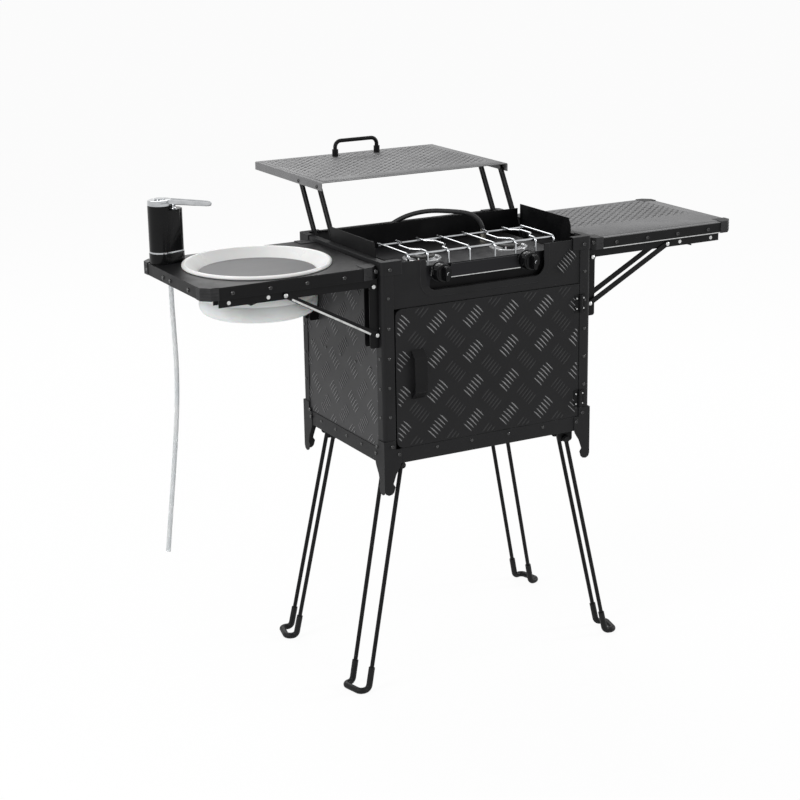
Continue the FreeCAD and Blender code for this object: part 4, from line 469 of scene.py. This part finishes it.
def tread(low, high, first, steps, size, face, level, highlight_share, skip=None):
    """Groups of six bars on a plate, every other group turned the other way. A bar's middle is the
    group's middle plus its number times the pitch across the bar; bars past the plate's edge are
    shortened to it. low, high, first and steps are (along, up) in the face's own axes. Also
    returns the share of painted highlight on each bar's crest, set by its lean."""
    low, high = np.asarray(low, float), np.asarray(high, float)
    shapes, crests = [], []
    for (lean, shift), lean_highlight in zip(((-1, 0.0), (1, 0.5)), highlight_share):
        column, row, number = np.meshgrid(np.arange(-1, 8), np.arange(-1, 8), np.arange(6) - 2.5,
                                          indexing="ij")
        along = np.array((1.0, lean)) / math.sqrt(2)
        across = np.array((-lean, 1.0)) / math.sqrt(2)
        middle = (np.stack((first[0] + (column + shift) * steps[0],
                            first[1] + (row + shift) * steps[1]), axis=-1)
                  + number[..., None] * size.bar_pitch / MM * across).reshape(-1, 2)
        half = size.bar_length / MM / 2
        # How far each bar may run both ways before it meets the plate's edge
        room = np.stack(((low - middle) / along, (high - middle) / along))
        start = np.clip(room.min(0).max(1), -half, half)
        end = np.clip(room.max(0).min(1), -half, half)
        centre = middle + along * ((start + end) / 2)[:, None]
        keep = (end - start) > SHORTEST_BAR
        if skip is not None:
            keep &= ~((centre > skip[0]) & (centre < skip[1])).all(1)
        centre, start, end = centre[keep], start[keep], end[keep]
        stretch = np.zeros((len(centre), 3, 3))
        stretch[:, 0, 0], stretch[:, 1, 0] = (along[:, None] * (end - start))
        stretch[:, 0, 1], stretch[:, 1, 1] = across[0], across[1]
        stretch[:, 2, 2] = 1
        shapes.append(repeat(tread_bar(1.0, 3.6, 0.95), stretch, lifted(centre)))
        crests.append(crest(len(centre)) * lean_highlight)
    points, faces = together(*shapes)
    return (points @ face.T + level * face[:, 2], faces), np.concatenate(crests)


def crest(count):
    """1 along the top line of each bar of a row, 0 elsewhere, in the order of its points."""
    return np.tile((0.0, 0.0, 1.0, 0.0, 0.0, 0.0), BAR_STATIONS * count)


def bars_piece(name, shape, highlight_share, body):
    """Tread bars as a piece, with the painted highlight of their crests as the pattern."""
    patterned(name, shape, body, "black_powder_coat", "crest_highlight_powder_coat", "crest", highlight_share)


def dimpled_sheet(low, high, level, first, size, border, lift=0.9):
    """A thin pressed sheet as cells of one dimple each: in a cell, ring after ring of twelve
    points goes from the dimple's middle out to the cell's own edge. A plain border of the first
    width runs round it, of the second along its front. Returns how deep each point lies too."""
    pitch = np.array((size.dimple_pitch_x, size.dimple_pitch_y)) / MM
    radius = size.dimple_radius / MM
    start = np.ceil((np.asarray(low) + border + pitch / 2 - first) / pitch)
    counts = (np.floor((np.asarray(high) - border[0] - pitch / 2 - first) / pitch) - start + 1)
    column, row = np.meshgrid(np.arange(counts[0]), np.arange(counts[1]), indexing="ij")
    middle = np.stack((column, row), axis=-1).reshape(-1, 2) * pitch + first + start * pitch
    round_ = polar(1, np.arange(12) * math.pi / 6)
    square = round_ / np.abs(round_).max(1, keepdims=True) * pitch / 2
    rings = np.stack([round_ * 0.0] + [round_ * radius * share for share in (0.8, 0.96, 1.1)]
                     + [square])
    up = level + lift - lift * np.array((0.75, 0.75, 0.4, 0.0, 0.0))
    flat = np.concatenate((rings, np.repeat(up[:, None], 12, axis=1)[..., None]), axis=-1)
    cell = flat.reshape(-1, 3), grid(5, 12, ring_columns=True)
    field = repeat(cell, np.eye(3), lifted(middle))
    inner = (middle.min(0) - pitch / 2, middle.max(0) + pitch / 2)
    border_rings = [rectangle(*corners, height) for corners, height in (
        (inner, level + lift), ((np.add(low, 0.9), np.subtract(high, 0.9)), level + lift),
        ((low, high), level), ((low, high), level - 0.05))]
    edge = np.concatenate(border_rings), grid(4, 4, ring_columns=True)
    deep = np.tile(np.repeat((1.0, 1.0, 0.85, 0.0, 0.0), 12), len(middle))
    return together(field, edge), np.concatenate((deep, np.zeros(16)))


def rectangle(low, high, level):
    """Four corners of a level rectangle."""
    return np.array(((low[0], low[1], level), (high[0], low[1], level),
                     (high[0], high[1], level), (low[0], high[1], level)), float)


def sheet_piece(name, low, high, level, first, size, border, body):
    """A dimpled sheet as a piece, with the depth of its dimples as the pattern."""
    shape, deep = dimpled_sheet(low, high, level, np.asarray(first, float), size, border)
    patterned(name, shape, body, "grey_powder_coat", "grey_powder_coat", "dimple", deep,
              sheet=True)


def knob():
    """A knob whose axis is Z: a fluted skirt, r less a share of 1 + cos 24 t, then a bar grip
    with |x / 4.5|^4 + |y / 13.6|^4 = 1 for its plan."""
    angle = np.linspace(0, 2 * math.pi, 96, endpoint=False)
    turn = lifted(polar(1, angle))
    flutes = 0.2 * (1 + np.cos(24 * angle))[:, None]
    skirt = [turn * (radius - flutes * deep) + Z * height for radius, height, deep in (
        (17, 0, 1), (17, 17.6, 1), (16.5, 18.7, 0.5), (15.6, 19.1, 0), (14.6, 19.1, 0),
        (13.94, 19.7, 0), (13.94, 21.8, 0), (13.4, 22.4, 0))]
    plan = np.sign(turn) * np.sqrt(np.abs(turn)) * (4.5, 13.6, 0)
    grip = [plan * share + Z * height for share, height in (
        (1, 21.8), (1, 30.4), (0.96, 31.5), (0.86, 32.3))]
    return together(capped(skirt), capped(grip))


def crescent(radius, width, level):
    """A thin raised crescent: its inner edge lies width (1 - t^2) inside the outer arc."""
    share = np.linspace(-1, 1, 11)
    angle = math.radians(150) + math.radians(85) * share
    inner = radius - width * (1 - share ** 2)
    rings = [lifted(polar(r, angle), height) for r, height in (
        (radius, level - 0.2), (radius, level + 0.15), (inner, level + 0.15),
        (inner, level - 0.2))]
    return np.stack(rings, axis=1).reshape(-1, 3), grid(11, 4, ring_columns=True)


def eggshell(proud, low, high):
    """The tap's plan, drawn between two heights: a large and a small round and the two lines that
    touch both. Its tangent points lie at the angle whose cosine is (large - small) / reach."""
    touch = math.acos((TAP_LARGE - TAP_SMALL) / TAP_REACH)
    large = np.linspace(touch, 2 * math.pi - touch, 40)
    small = np.linspace(-touch, touch, 22)
    wide, narrow = TAP_LARGE + proud, TAP_SMALL + proud
    outline = np.concatenate((polar(wide, large), polar(narrow, small) + (TAP_REACH, 0)))
    drawn_in = outline * (1 - 0.7 / np.linalg.norm(outline, axis=1, keepdims=True))
    return capped([lifted(line, height) for line, height in (
        (drawn_in, low), (outline, low + 0.7), (outline, high - 0.7), (drawn_in, high))])


def blade():
    """The spout along X: at each station a channelled section is scaled to half its width and
    to its height, and the tip draws in round an open mouth."""
    section = np.array(((-1, 0.15), (-1, 0.8), (-0.93, 1), (-0.76, 1), (-0.66, 0.86), (0.66, 0.86),
                        (0.76, 1), (0.93, 1), (1, 0.8), (1, 0.15), (0.85, 0), (-0.85, 0)))
    stations = np.array(((4, 10, 921.3, 929.6), (22, 10, 921.3, 929.9), (40, 9.2, 920.6, 929),
                         (60, 8.6, 919.8, 928), (80, 7.9, 918.9, 926.9), (88, 7.3, 918.6, 926.3),
                         (92, 6.2, 918.6, 925.5), (94.3, 4.8, 919, 924.6), (95, 4, 919.3, 924.2)))
    reach, half, low, high = (part[:, None] for part in stations.T)
    rings = np.stack((np.repeat(reach, 12, axis=1), section[:, 0] * half,
                      low + section[:, 1] * (high - low)), axis=-1)
    return capped(rings)


# ---- Operators -----------------------------------------------------------------------------

class Build(bpy.types.Operator):
    """Base of the kitchen's operators: each one builds, and a failure stops the script."""
    bl_options = {"REGISTER", "UNDO"}

    def execute(self, context):
        """Builds the piece or group."""
        self.build(context.scene.kitchen_sizes, context.scene.kitchen_colours)
        return {"FINISHED"}


class KITCHEN_OT_stage(Build):
    """Camera, lamps, world and floor."""
    bl_idname, bl_label = "kitchen.stage", "Stage"

    def build(self, sizes, colours):
        """The camera stands where its fitted yaw, pitch and roll put it."""
        yaw, pitch, roll = (math.radians(a) for a in (28.42, 16.44, -0.91))
        ahead = Vector((math.sin(yaw) * math.cos(pitch), math.cos(yaw) * math.cos(pitch),
                        -math.sin(pitch)))
        level = Vector((math.cos(yaw), -math.sin(yaw), 0))
        upright = level.cross(ahead)
        right = level * math.cos(roll) + upright * math.sin(roll)
        up = upright * math.cos(roll) - level * math.sin(roll)
        lens = bpy.data.cameras.new("camera")
        lens.lens, lens.sensor_width = 84.43, 36.0
        camera = shown("camera", lens)
        turn = Matrix((right, up, -ahead)).transposed().to_4x4()
        camera.matrix_world = Matrix.Translation((-1.75699, -3.16824, 1.53227)) @ turn
        bpy.context.scene.camera = camera
        bpy.context.scene.view_settings.view_transform = "Standard"
        for name, place, target, size, power in (
                ("key_lamp", (-3.2, -0.9, 2.6), (0, 0, 0.6), 1.6, 62),
                ("right_lamp", (3.0, -0.9, 1.4), (0, -0.1, 0.6), 0.7, 34),
                ("back_lamp", (0.6, 2.8, 3.0), (0, 0, 0.8), 1.8, 40)):
            lamp = bpy.data.lights.new(name, "AREA")
            lamp.energy, lamp.shape, lamp.size = power, "DISK", size
            stand = shown(name, lamp)
            stand.location = place
            look = Vector(target) - Vector(place)
            stand.rotation_euler = look.to_track_quat("-Z", "Y").to_euler()
        self.world()
        self.floor()

    def seen(self, tree):
        """1 for what the eye, a mirror or a clear wall sees, 0 for what lights the object."""
        path = add(tree, "ShaderNodeLightPath")
        camera, glossy, through = (path.outputs["Is %s Ray" % kind]
                                   for kind in ("Camera", "Glossy", "Transmission"))
        mirror = add(tree, "ShaderNodeMath", {0: camera, 1: glossy}, operation="MAXIMUM")
        return add(tree, "ShaderNodeMath", {0: mirror, 1: through}, operation="MAXIMUM")

    def world(self):
        """A white studio that lights the object at half strength."""
        world = bpy.data.worlds.new("studio")
        world.use_nodes = True
        tree = world.node_tree
        strength = add(tree, "ShaderNodeMapRange", {"Value": self.seen(tree), "To Min": 0.55,
                                                    "To Max": 1.0})
        backdrop = tree.nodes["Background"]
        backdrop.inputs["Color"].default_value = (1, 1, 1, 1)
        tree.links.new(strength.outputs[0], backdrop.inputs["Strength"])
        bpy.context.scene.world = world

    def floor(self):
        """A pale floor that is white to the eye and still takes a soft shadow."""
        mesh = bpy.data.meshes.new("floor")
        mesh.from_pydata([(-60, -60, -0.0005), (60, -60, -0.0005), (60, 60, -0.0005),
                          (-60, 60, -0.0005)], [], [(0, 1, 2, 3)])
        floor = shown("floor", mesh)
        paper = bpy.data.materials.new("backdrop_paper")
        paper.use_nodes = True
        tree = paper.node_tree
        tree.nodes.remove(tree.nodes["Principled BSDF"])
        matt = add(tree, "ShaderNodeBsdfDiffuse", {"Color": (0.95, 0.95, 0.95, 1)})
        glow = add(tree, "ShaderNodeEmission", {"Color": (1, 1, 1, 1), "Strength": 1.0})
        share = add(tree, "ShaderNodeMath", {0: self.seen(tree), 1: 0.93}, operation="MULTIPLY")
        both = add(tree, "ShaderNodeMixShader", {0: share, 1: matt, 2: glow})
        tree.links.new(both.outputs[0], tree.nodes["Material Output"].inputs["Surface"])
        mesh.materials.append(paper)


class KITCHEN_OT_finishes(Build):
    """Materials, and the finish of every solid of the frame."""
    bl_idname, bl_label = "kitchen.finishes", "Finishes"

    def build(self, sizes, colours):
        """Every material slot of a node gets the node's finish."""
        make_finishes(colours)
        for name, nodes in NODE_FINISHES.items():
            for node in nodes.split():
                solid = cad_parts[node]
                if not solid.material_slots:
                    solid.data.materials.append(None)
                for held in solid.material_slots:
                    held.material = FINISHES[name]


class KITCHEN_OT_hoses(Build):
    """Gas hose over the stove and water hose under the tap."""
    bl_idname, bl_label = "kitchen.hoses", "Hoses"

    def build(self, sizes, colours):
        """Each hose is a round tube on the line of a smooth spline through its route."""
        gas = ((-95, 152.6, 792.1), (-95, 130, 793), (-90, 106, 806), (-72, 88, 830),
               (-40, 74, 849), (0, 58, 857), (38, 36, 855), (64.9, 16.6, 852), (78.4, 6.9, 843.1),
               (87, 0.7, 827.4), (88, 0, 814.5))
        water = ((-527, 85, 782), (-527, 84.8, 738), (-525.5, 84.4, 680), (-524, 84, 620),
                 (-526, 84, 558), (-531, 84.2, 496), (-538, 84.2, 434), (-545.5, 84.2, 372),
                 (-553, 84.4, 312), (-559.5, 84.6, 256))
        radius = sizes.hose_radius / MM
        for name, route, body, node, slot, finish_name, far, joint, anchor, keep in (
                ("gas_hose_tube", gas, "cabinet", "gas_hose", "hose_rubber",
                 "ribbed_hose_rubber", "object", "rear_arms_swing", 0.79, 0.3),
                ("water_hose_tube", water, "left_wing", "water_hose", "clear_hose",
                 "clear_pvc_tube", "bare", "left_wing_fold", 0.789, 0.04)):
            line = self.spline(name, metres(route))
            tube = self.walled if far == "bare" else self.ribbed
            hose = piece(name, tube(line / MM - MIDDLE, radius), body, slot, finish_name, (node,))
            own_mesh(hose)
        nut = revolved(((0, 0), (6.3, 0), (6.3, 7.5), (5.6, 8.2), (0, 8.2)), 6)
        collar = revolved(((0, 0), (5.8, 0), (6, 0.8), (6, 8), (5.2, 9), (0, 9)), 24)
        lying = turned(-BACK, Z)
        piece("gas_hose_nuts", together(
            moved(nut, place=(88, 0, 803)), moved(collar, place=(88, 0, 811)),
            moved(nut, lying, (-95, 164.4, 792.1)), moved(collar, lying, (-95, 156.6, 792.1))),
              "cabinet", "brass", "nickelled_brass")
        sleeve = revolved(((4.3, 774), (4.8, 774), (4.9, 775), (4.9, 786), (4.7, 787),
                           (4.3, 787)), 28, ring=True)
        piece("water_hose_collar", moved(sleeve, place=(-527, 85, 0)), "left_wing", "clear_hose",
              "clear_pvc_tube")

    def spline(self, name, route):
        """The points of a smooth spline with the route as its control points."""
        curve = bpy.data.curves.new(name + "_route", "CURVE")
        curve.dimensions, curve.resolution_u = "3D", 10
        spline = curve.splines.new("NURBS")
        spline.points.add(len(route) - 1)
        spline.points.foreach_set("co", np.concatenate((route, np.ones((len(route), 1))),
                                                       axis=1).ravel())
        spline.order_u = 3
        spline.use_endpoint_u = True
        holder = bpy.data.objects.new(name + "_route", curve)
        mesh = bpy.data.meshes.new_from_object(holder)
        points = np.zeros(len(mesh.vertices) * 3)
        mesh.vertices.foreach_get("co", points)
        bpy.data.objects.remove(holder)
        bpy.data.meshes.remove(mesh)
        bpy.data.curves.remove(curve)
        return points.reshape(-1, 3)

    def ribbed(self, path, radius):
        """A round tube whose radius swings by a thirtieth, one rib every 3 mm."""
        reach = np.concatenate(([0], np.linalg.norm(np.diff(path, axis=0), axis=1).cumsum()))
        fine = np.linspace(0, reach[-1], int(reach[-1] / 0.75))
        line = np.stack([np.interp(fine, reach, part) for part in path.T], axis=1)
        return swept(line, circle(radius, 16), Y, swell=1 + np.cos(fine * 2 * math.pi / 3) / 30)

    def walled(self, path, radius):
        """A round tube with a wall of 1.3 mm, open at both ends."""
        rings = [swept(path, circle(size, 18), Y)[0].reshape(-1, 18, 3)[1:-1]
                 for size in (radius, radius - 1.3)]
        both = np.concatenate((rings[0], rings[1][::-1]))
        return both.reshape(-1, 3), grid(len(both), 18, ring_rows=True, ring_columns=True)


class KITCHEN_OT_basin(Build):
    """Rim, soft bowl and tap of the washbasin."""
    bl_idname, bl_label = "kitchen.basin", "Washbasin"

    def build(self, sizes, colours):
        """Rim and bowl are rings about the basin's axis; the head is turned towards it."""
        middle = (-400, -19, 0)
        rim = ((135, 813.05), (136, 814.4), (136, 816.4), (135.2, 818), (133.4, 819),
               (130.6, 819), (128.6, 818.2), (127.2, 816.6), (107.2, 798.6), (106.2, 797.2),
               (106.2, 791.3), (107.8, 791.2), (108, 792), (125, 811.5), (126.2, 813.05))
        piece("rounded_rim", moved(revolved(rim, 120, ring=True), place=middle), "left_wing",
              "white_plastic", "moulded_white_plastic", ("basin_rim",))
        outer = ((107.9, 791.2), (107.9, 779), (106.5, 775.5), (107.9, 772), (107.9, 760),
                 (106.5, 756.5), (107.9, 753), (107.9, 742), (106.5, 735.5), (102.4, 729.6),
                 (96, 726), (88, 725), (0, 725))
        inner = [(max(radius - 1.8, 0), height + (1.8 if radius < 100 else 0.6))
                 for radius, height in outer[::-1]]
        inner[-1] = (106.1, 791.2)
        bowl = piece("folding_bowl", moved(revolved(outer + tuple(inner), 96, ring=True),
                                           place=middle),
                     "left_wing", "basin_silicone", "cast_milky_silicone", ("basin_skirt",))
        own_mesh(bowl)
        cap = revolved(((0, 918.3), (21.4, 918.3), (22.4, 919.1), (22.4, 923.4), (21.9, 924),
                        (22.1, 924.6), (22.1, 928.5), (21.2, 929.7), (20.4, 930), (10.4, 930),
                        (9.5, 929.4), (9.4, 927.1), (0, 927.1)), 72)
        # The cap's top falls by 2.2 mm away from the spout
        points = cap[0]
        high = np.clip((points[:, 2] - 919) / 11, 0, 1)
        points[:, 2] -= 0.05 * (TAP_LARGE - points[:, 0]) * high
        spout = (95, 0, 921.8)
        neck = moved(revolved(((0, 911.4), (6.6, 911.4), (5.2, 912.2), (4.2, 914.2), (4, 917),
                               (5, 920), (8.6, 922.6), (0, 922.6)), 32), place=(25.4, 0, 0))
        lip = moved(revolved([(2.6 + x, y) for x, y in circle(0.8, 10)], 28, ring=True),
                    turned(X), spout)
        angle = math.radians(-37)
        turn = np.array(((math.cos(angle), -math.sin(angle), 0),
                         (math.sin(angle), math.cos(angle), 0), (0, 0, 1)))
        piece("chrome_tap_head", moved(together(cap, neck, blade(), lip), turn, TAP),
              "tap_head", *CHROME, ("tap_head",))
        top = revolved(((0, 905), (22.4, 905), (22.4, 917.4), (21.8, 918), (0, 918)), 72)
        nozzle = moved(revolved(((0, 776), (4.2, 776), (4.2, 814), (0, 814)), 20),
                       place=(14, 0, 0))
        piece("oval_tower", moved(together(eggshell(0, 834.6, 911), top), place=TAP), "left_wing",
              *GLOSS_BLACK, ("tap_tower",))
        piece("oval_ring", moved(eggshell(0.5, 831.6, 835), place=TAP), "left_wing",
              *CHROME, ("tap_ring",))
        piece("oval_base", moved(together(eggshell(0.8, 813, 832), nozzle), place=TAP),
              "left_wing", *GLOSS_BLACK, ("tap_base",))
        # A black disc of painted shade at the spout's tip stands for the dark inside of its mouth
        mouth = moved(revolved(((0, -0.4), (2.6, -0.4), (2.6, 0.3), (0, 0.3)), 20), turned(X),
                      spout)
        piece("spout_mouth_shade", moved(mouth, turn, TAP), "tap_head", *GLOSS_BLACK)


class KITCHEN_OT_stove(Build):
    """Knobs and burners of the stove, with painted shade and painted highlights on its front."""
    bl_idname, bl_label = "kitchen.stove", "Stove fittings"

    def build(self, sizes, colours):
        """Each burner is a bright pan under a cast cap; the knobs stand before a black strip of
        painted shade.
        """
        front = turned(FRONT)
        pan = revolved(((9, 781), (9, 797.2), (27.5, 797.2), (28.6, 798.4), (29.6, 802.6),
                        (31, 803.6), (33, 803.2), (34, 803.9), (36, 803.7), (36.3, 802.9),
                        (36, 801.6), (30, 801.6), (27.4, 798.6), (10.2, 798.6), (10.2, 781)),
                       72, ring=True)
        cap = revolved(((0, 797.4), (10, 797.4), (11, 804.4), (22.6, 805.2), (24, 806.4),
                        (24, 808.8), (23, 809.7), (19, 810.1), (18.4, 809.7), (17.6, 810.2),
                        (13, 810.8), (12, 812.4), (11, 813), (0, 813)), 60)
        tip = revolved(((0, 798), (1.4, 798), (1.4, 806.6), (0.9, 807.6), (0, 807.6)), 10)
        places = [(x, -93, 0) for x in BURNERS_X]
        piece("burner_pans", repeat(pan, np.eye(3), places), "cabinet", "chrome_plate",
              "turned_aluminium", ("burners",))
        piece("burner_caps", repeat(cap, np.eye(3), places), "cabinet", "chrome_plate",
              "cast_burner_iron", ("burners",))
        piece("igniter_tips", repeat(tip, np.eye(3), [(x - 18, -112.5, 0) for x in BURNERS_X]),
              "cabinet", "white_plastic", "moulded_white_plastic")
        for x, body in zip(BURNERS_X, ("left_knob", "right_knob")):
            seat = (x, -157.7, 789)
            piece("fluted_" + body, moved(knob(), front, seat), body, *GLOSS_BLACK, (body,))
            # A chrome crescent on each knob's grip is a painted highlight, standing for the glint
            # on the grip's face
            glint = moved(crescent(3.4, 1.3, 32.3), place=(1.2, 0.8, 0))
            piece(body + "_glint_inlay", moved(glint, front, seat), body, *CHROME)
        # A black strip of painted shade on the stove's front below the fascia, where the notch
        # lies in shadow
        piece("notch_shade_strip", strip((-119, -156, 767), (119, -156, 767), FRONT, 18, 0.4),
              "cabinet", "black_powder_coat", "baked_black_enamel")
        # Zinc strips as painted highlights: the bright lower edge of the fascia between the knobs
        # and the glint on the notch's left edge
        piece("fascia_edge_glints", together(
            strip((-84, -161, 776.7), (72, -161, 776.7), FRONT, 1.4, 0.5),
            strip((-119, -161, 784), (-117, -161, 799), FRONT, 1.5, 0.3)), "cabinet", *ZINC)


class KITCHEN_OT_tread(Build):
    """Raised tread bars of door, cover, side and back plates."""
    bl_idname, bl_label = "kitchen.tread", "Tread bars"

    def build(self, sizes, colours):
        """Groups 77.5 by 66.5 mm apart, as on chequer plate."""
        steps, front = (77.5, 66.5), turned(FRONT)
        # The last pair of each tread call, and the 0.3 of the cover's bars, is the share of
        # painted highlight on the crests of each lean
        shape, highlight_share = tread((-196, 471), (197, 729), (-190, 499), steps, sizes, front, 168,
                            (0.85, 0.05), skip=((-170, 555), (-137, 657)))
        bars_piece("door_tread_bars", shape, highlight_share, "door")
        motif = np.arange(7) - 3
        places = np.stack((170 + motif * 4.6, np.full(7, -168.0), 778 + motif * 4.6), axis=1)
        lean = front @ np.array(((1, 1, 0), (-1, 1, 0), (0, 0, math.sqrt(2)))) / math.sqrt(2)
        bars_piece("cover_tread_bars", repeat(tread_bar(25, 3.2, 0.9), lean, places),
                   crest(7) * 0.3, "cabinet")
        for name, face in (("left_tread_bars", turned(LEFT)), ("right_tread_bars", turned(RIGHT))):
            shape, highlight_share = tread((-156, 469), (156, 790), (-150, 499), steps, sizes, face, 223.4,
                                (0.7, 0.7))
            bars_piece(name, shape, highlight_share, "cabinet")
        shape, highlight_share = tread((-212, 452), (212, 780), (-190, 499), steps, sizes, turned(BACK),
                            166.4, (0.7, 0.3))
        bars_piece("back_tread_bars", shape, highlight_share, "cabinet")


class KITCHEN_OT_rivets(Build):
    """Rivets and screws of cabinet, worktops, brackets and lid."""
    bl_idname, bl_label = "kitchen.rivets", "Rivets"

    def build(self, sizes, colours):
        """Domed heads in rows, each row facing out of its sheet."""
        radius = sizes.rivet_radius / MM
        head, bolt = rivet(radius, 1.7), screw(3.8, 2.0)
        front, back = turned(FRONT), turned(BACK)
        rows = []
        for face, level, sign in ((front, -168.0, -1), (back, 168.0, 1)):
            rows.append(repeat(head, face, [(x, level, 459.0) for x in (-114, -39, 42, 119)]))
            rows.append(repeat(head, face, [(x, level, z) for x in (-212, 212)
                                            for z in (531, 587, 642, 698, 754)]))
            # On the brackets above and the claws' plates below, 1.5 mm proud of the sheet
            rows.append(repeat(bolt, face, [
                (side * x, level + sign * 1.5, z) for side in (-1, 1)
                for x, z in ((208.6, 806.6), (209, 474.6), (195, 458))]))
        for face, level in ((turned(LEFT), -225.0), (turned(RIGHT), 225.0)):
            # The posts' sheet, the panel set back in it and the claws' plates over it
            panel, plate = level * 0.9929, level * 1.0067
            places = [(level, y, 458.0) for y in (93, 32, -15, -76)]
            places += [(level, y, z) for y in (-156, 156) for z in (530, 584, 641, 698)]
            places += [(panel, y, 613.0) for y in (127, 68, 5, -56, -116)]
            rows.append(repeat(head, face, places))
            rows.append(repeat(bolt, face, [(plate, side * y, z) for side in (-1, 1)
                                            for y, z in ((141, 470.6), (136.5, 457))]))
        piece("cabinet_rivets", together(*rows), "cabinet", *BLACK_STEEL)
        small = screw(1.7, 0.9, 10)
        for name, x, body in (("post_hinge_screws", 209, "cabinet"),
                              ("door_hinge_screws", 194, "door")):
            places = [(x, -169.5, z + lift) for z in (504, 693) for lift in (-10, 10)]
            piece(name, repeat(small, front, places), body, *ZINC)
        piece("lid_bolts", together(*[
            repeat(bolt, turned(side * X), [(side * 207, y, 914) for y in (122, 202)])
            for side in (-1, 1)]), "lid", *BLACK_STEEL)


class KITCHEN_OT_wings(Build):
    """Screws, pins, guard ribs and painted edge highlights of both worktops and their stays."""
    bl_idname, bl_label = "kitchen.wings", "Worktop fittings"

    def build(self, sizes, colours):
        """The left worktop's fittings are the right one's with X turned round."""
        front, back = turned(FRONT), turned(BACK)
        bolt, pin, flat_pin = screw(3.8, 2.0), rivet(4.2, 2.2, 14), rivet(3.6, 0.3, 14)
        for side, body, across in ((-1, "left", (296, 369, 440, 511)),
                                   (1, "right", (288, 360, 432, 506))):
            wing = body + "_wing"
            piece(wing + "_screws", together(
                repeat(bolt, front, [(side * x, -162, 801.2) for x in across]),
                repeat(bolt, back, [(side * x, 124, 801.2) for x in across]),
                repeat(bolt, front, [(side * 234, -163.2, 805.7)]),
                repeat(bolt, turned(side * X), [(side * 566, y, 800)
                                                for y in (100, 21, -12, -95)])),
                  wing, *BLACK_STEEL)
            # Pins: the fold and the rail's end on the wing, both ends of each stay on the stay
            for name, owner, head, near, far, ends in (
                    ("_wing_pins", wing, pin, -158.8, 120.8, ((236, 777),)),
                    ("_rail_pins", wing, flat_pin, -156.8, 118.8, ((517, 783), (442, 783.5))),
                    ("_stay_pins", body + "_stays", pin, -160, 122, ((230.5, 687), (410, 783)))):
                piece(body + name, together(*[
                    repeat(head, face, [(side * x, y, z) for x, z in ends])
                    for face, y in ((front, near), (back, far))]), owner, *ZINC)
            ribs = []
            for z in (795.5, 801.0, 806.5):
                for y, away, reach in ((-163.2, FRONT, -1), (125.2, BACK, 1)):
                    slant = np.array((side, reach, 0)) / math.sqrt(2)
                    ribs += [strip((side * x, y - reach * inset, z),
                                   (side * end_x, y - reach * end_inset, z), out, 1.6, 0.5)
                             for x, inset, end_x, end_inset, out in (
                                 (241, 0, 254, 0, away), (539, 0, 552, 0, away),
                                 (567.2, 28, 567.2, 15, side * X), (554, 0.8, 566.4, 13.2, slant))]
            piece(body + "_guard_ribs", together(*ribs), wing, "guard_plastic",
                  "moulded_guard_nylon")
        # Painted highlights as zinc strips: along the left stays' upper half and the right frame's
        # lower front edge
        rise = np.array((-409, 0, 783)) - (-231.5, 0, 687)
        above = np.cross(Y, rise / np.linalg.norm(rise)) * -2.4
        lines = [strip(np.array((-243, y, 693.2)) + above, np.array((-397, y, 776.5)) + above,
                       away, 3.6, 0.25) for y, away in ((-159.2, FRONT), (121.2, BACK))]
        piece("left_stay_highlight_strips", together(*lines), "left_stays", "black_powder_coat",
              "zinc_plate")
        piece("right_frame_highlight_strip", strip((258, -162, 792.2), (536, -162, 792.2), FRONT, 1.6,
                                             0.2), "right_wing", "black_powder_coat", "zinc_plate")


class KITCHEN_OT_sheets(Build):
    """Pressed sheets on the lid and the right worktop."""
    bl_idname, bl_label = "kitchen.sheets", "Dimpled sheets"

    def build(self, sizes, colours):
        """Each sheet lies on its panel, inside its rim."""
        sheet_piece("lid_sheet", (-200, 109), (200, 397), 924.0, (-3.8, 249.8), sizes, (4, 18),
                    "lid")
        sheet_piece("right_worktop_sheet", (238, -152), (556, 114), 813.0, (242.2, 2.4), sizes,
                    (4, 88), "right_wing")


class KITCHEN_PT_panel(bpy.types.Panel):
    """Lists the kitchen's pieces in the sidebar."""
    bl_label, bl_idname = "Camping kitchen", "KITCHEN_PT_panel"
    bl_space_type, bl_region_type, bl_category = "VIEW_3D", "UI", "Kitchen"

    def draw(self, context):
        """Sizes and colours first, then one button for each piece or group."""
        for group in (context.scene.kitchen_sizes, context.scene.kitchen_colours):
            for key in group.__annotations__:
                self.layout.prop(group, key)
        for operator in OPERATORS:
            self.layout.operator(operator.bl_idname)


OPERATORS = (KITCHEN_OT_stage, KITCHEN_OT_finishes, KITCHEN_OT_hoses, KITCHEN_OT_basin,
             KITCHEN_OT_stove, KITCHEN_OT_tread, KITCHEN_OT_rivets, KITCHEN_OT_wings,
             KITCHEN_OT_sheets)


def register():
    """Registers the classes and hangs the two groups of values on the scene."""
    for group in (KitchenSizes, KitchenColours, *OPERATORS, KITCHEN_PT_panel):
        bpy.utils.register_class(group)
    bpy.types.Scene.kitchen_sizes = bpy.props.PointerProperty(type=KitchenSizes)
    bpy.types.Scene.kitchen_colours = bpy.props.PointerProperty(type=KitchenColours)


def unregister():
    """Takes the classes away again."""
    del bpy.types.Scene.kitchen_colours, bpy.types.Scene.kitchen_sizes
    for group in reversed((KitchenSizes, KitchenColours, *OPERATORS, KITCHEN_PT_panel)):
        bpy.utils.unregister_class(group)


def main():
    """Builds everything in order."""
    register()
    for operator in OPERATORS:
        family, name = operator.bl_idname.split(".")
        getattr(getattr(bpy.ops, family), name)()


if __name__ == "__main__":
    main()
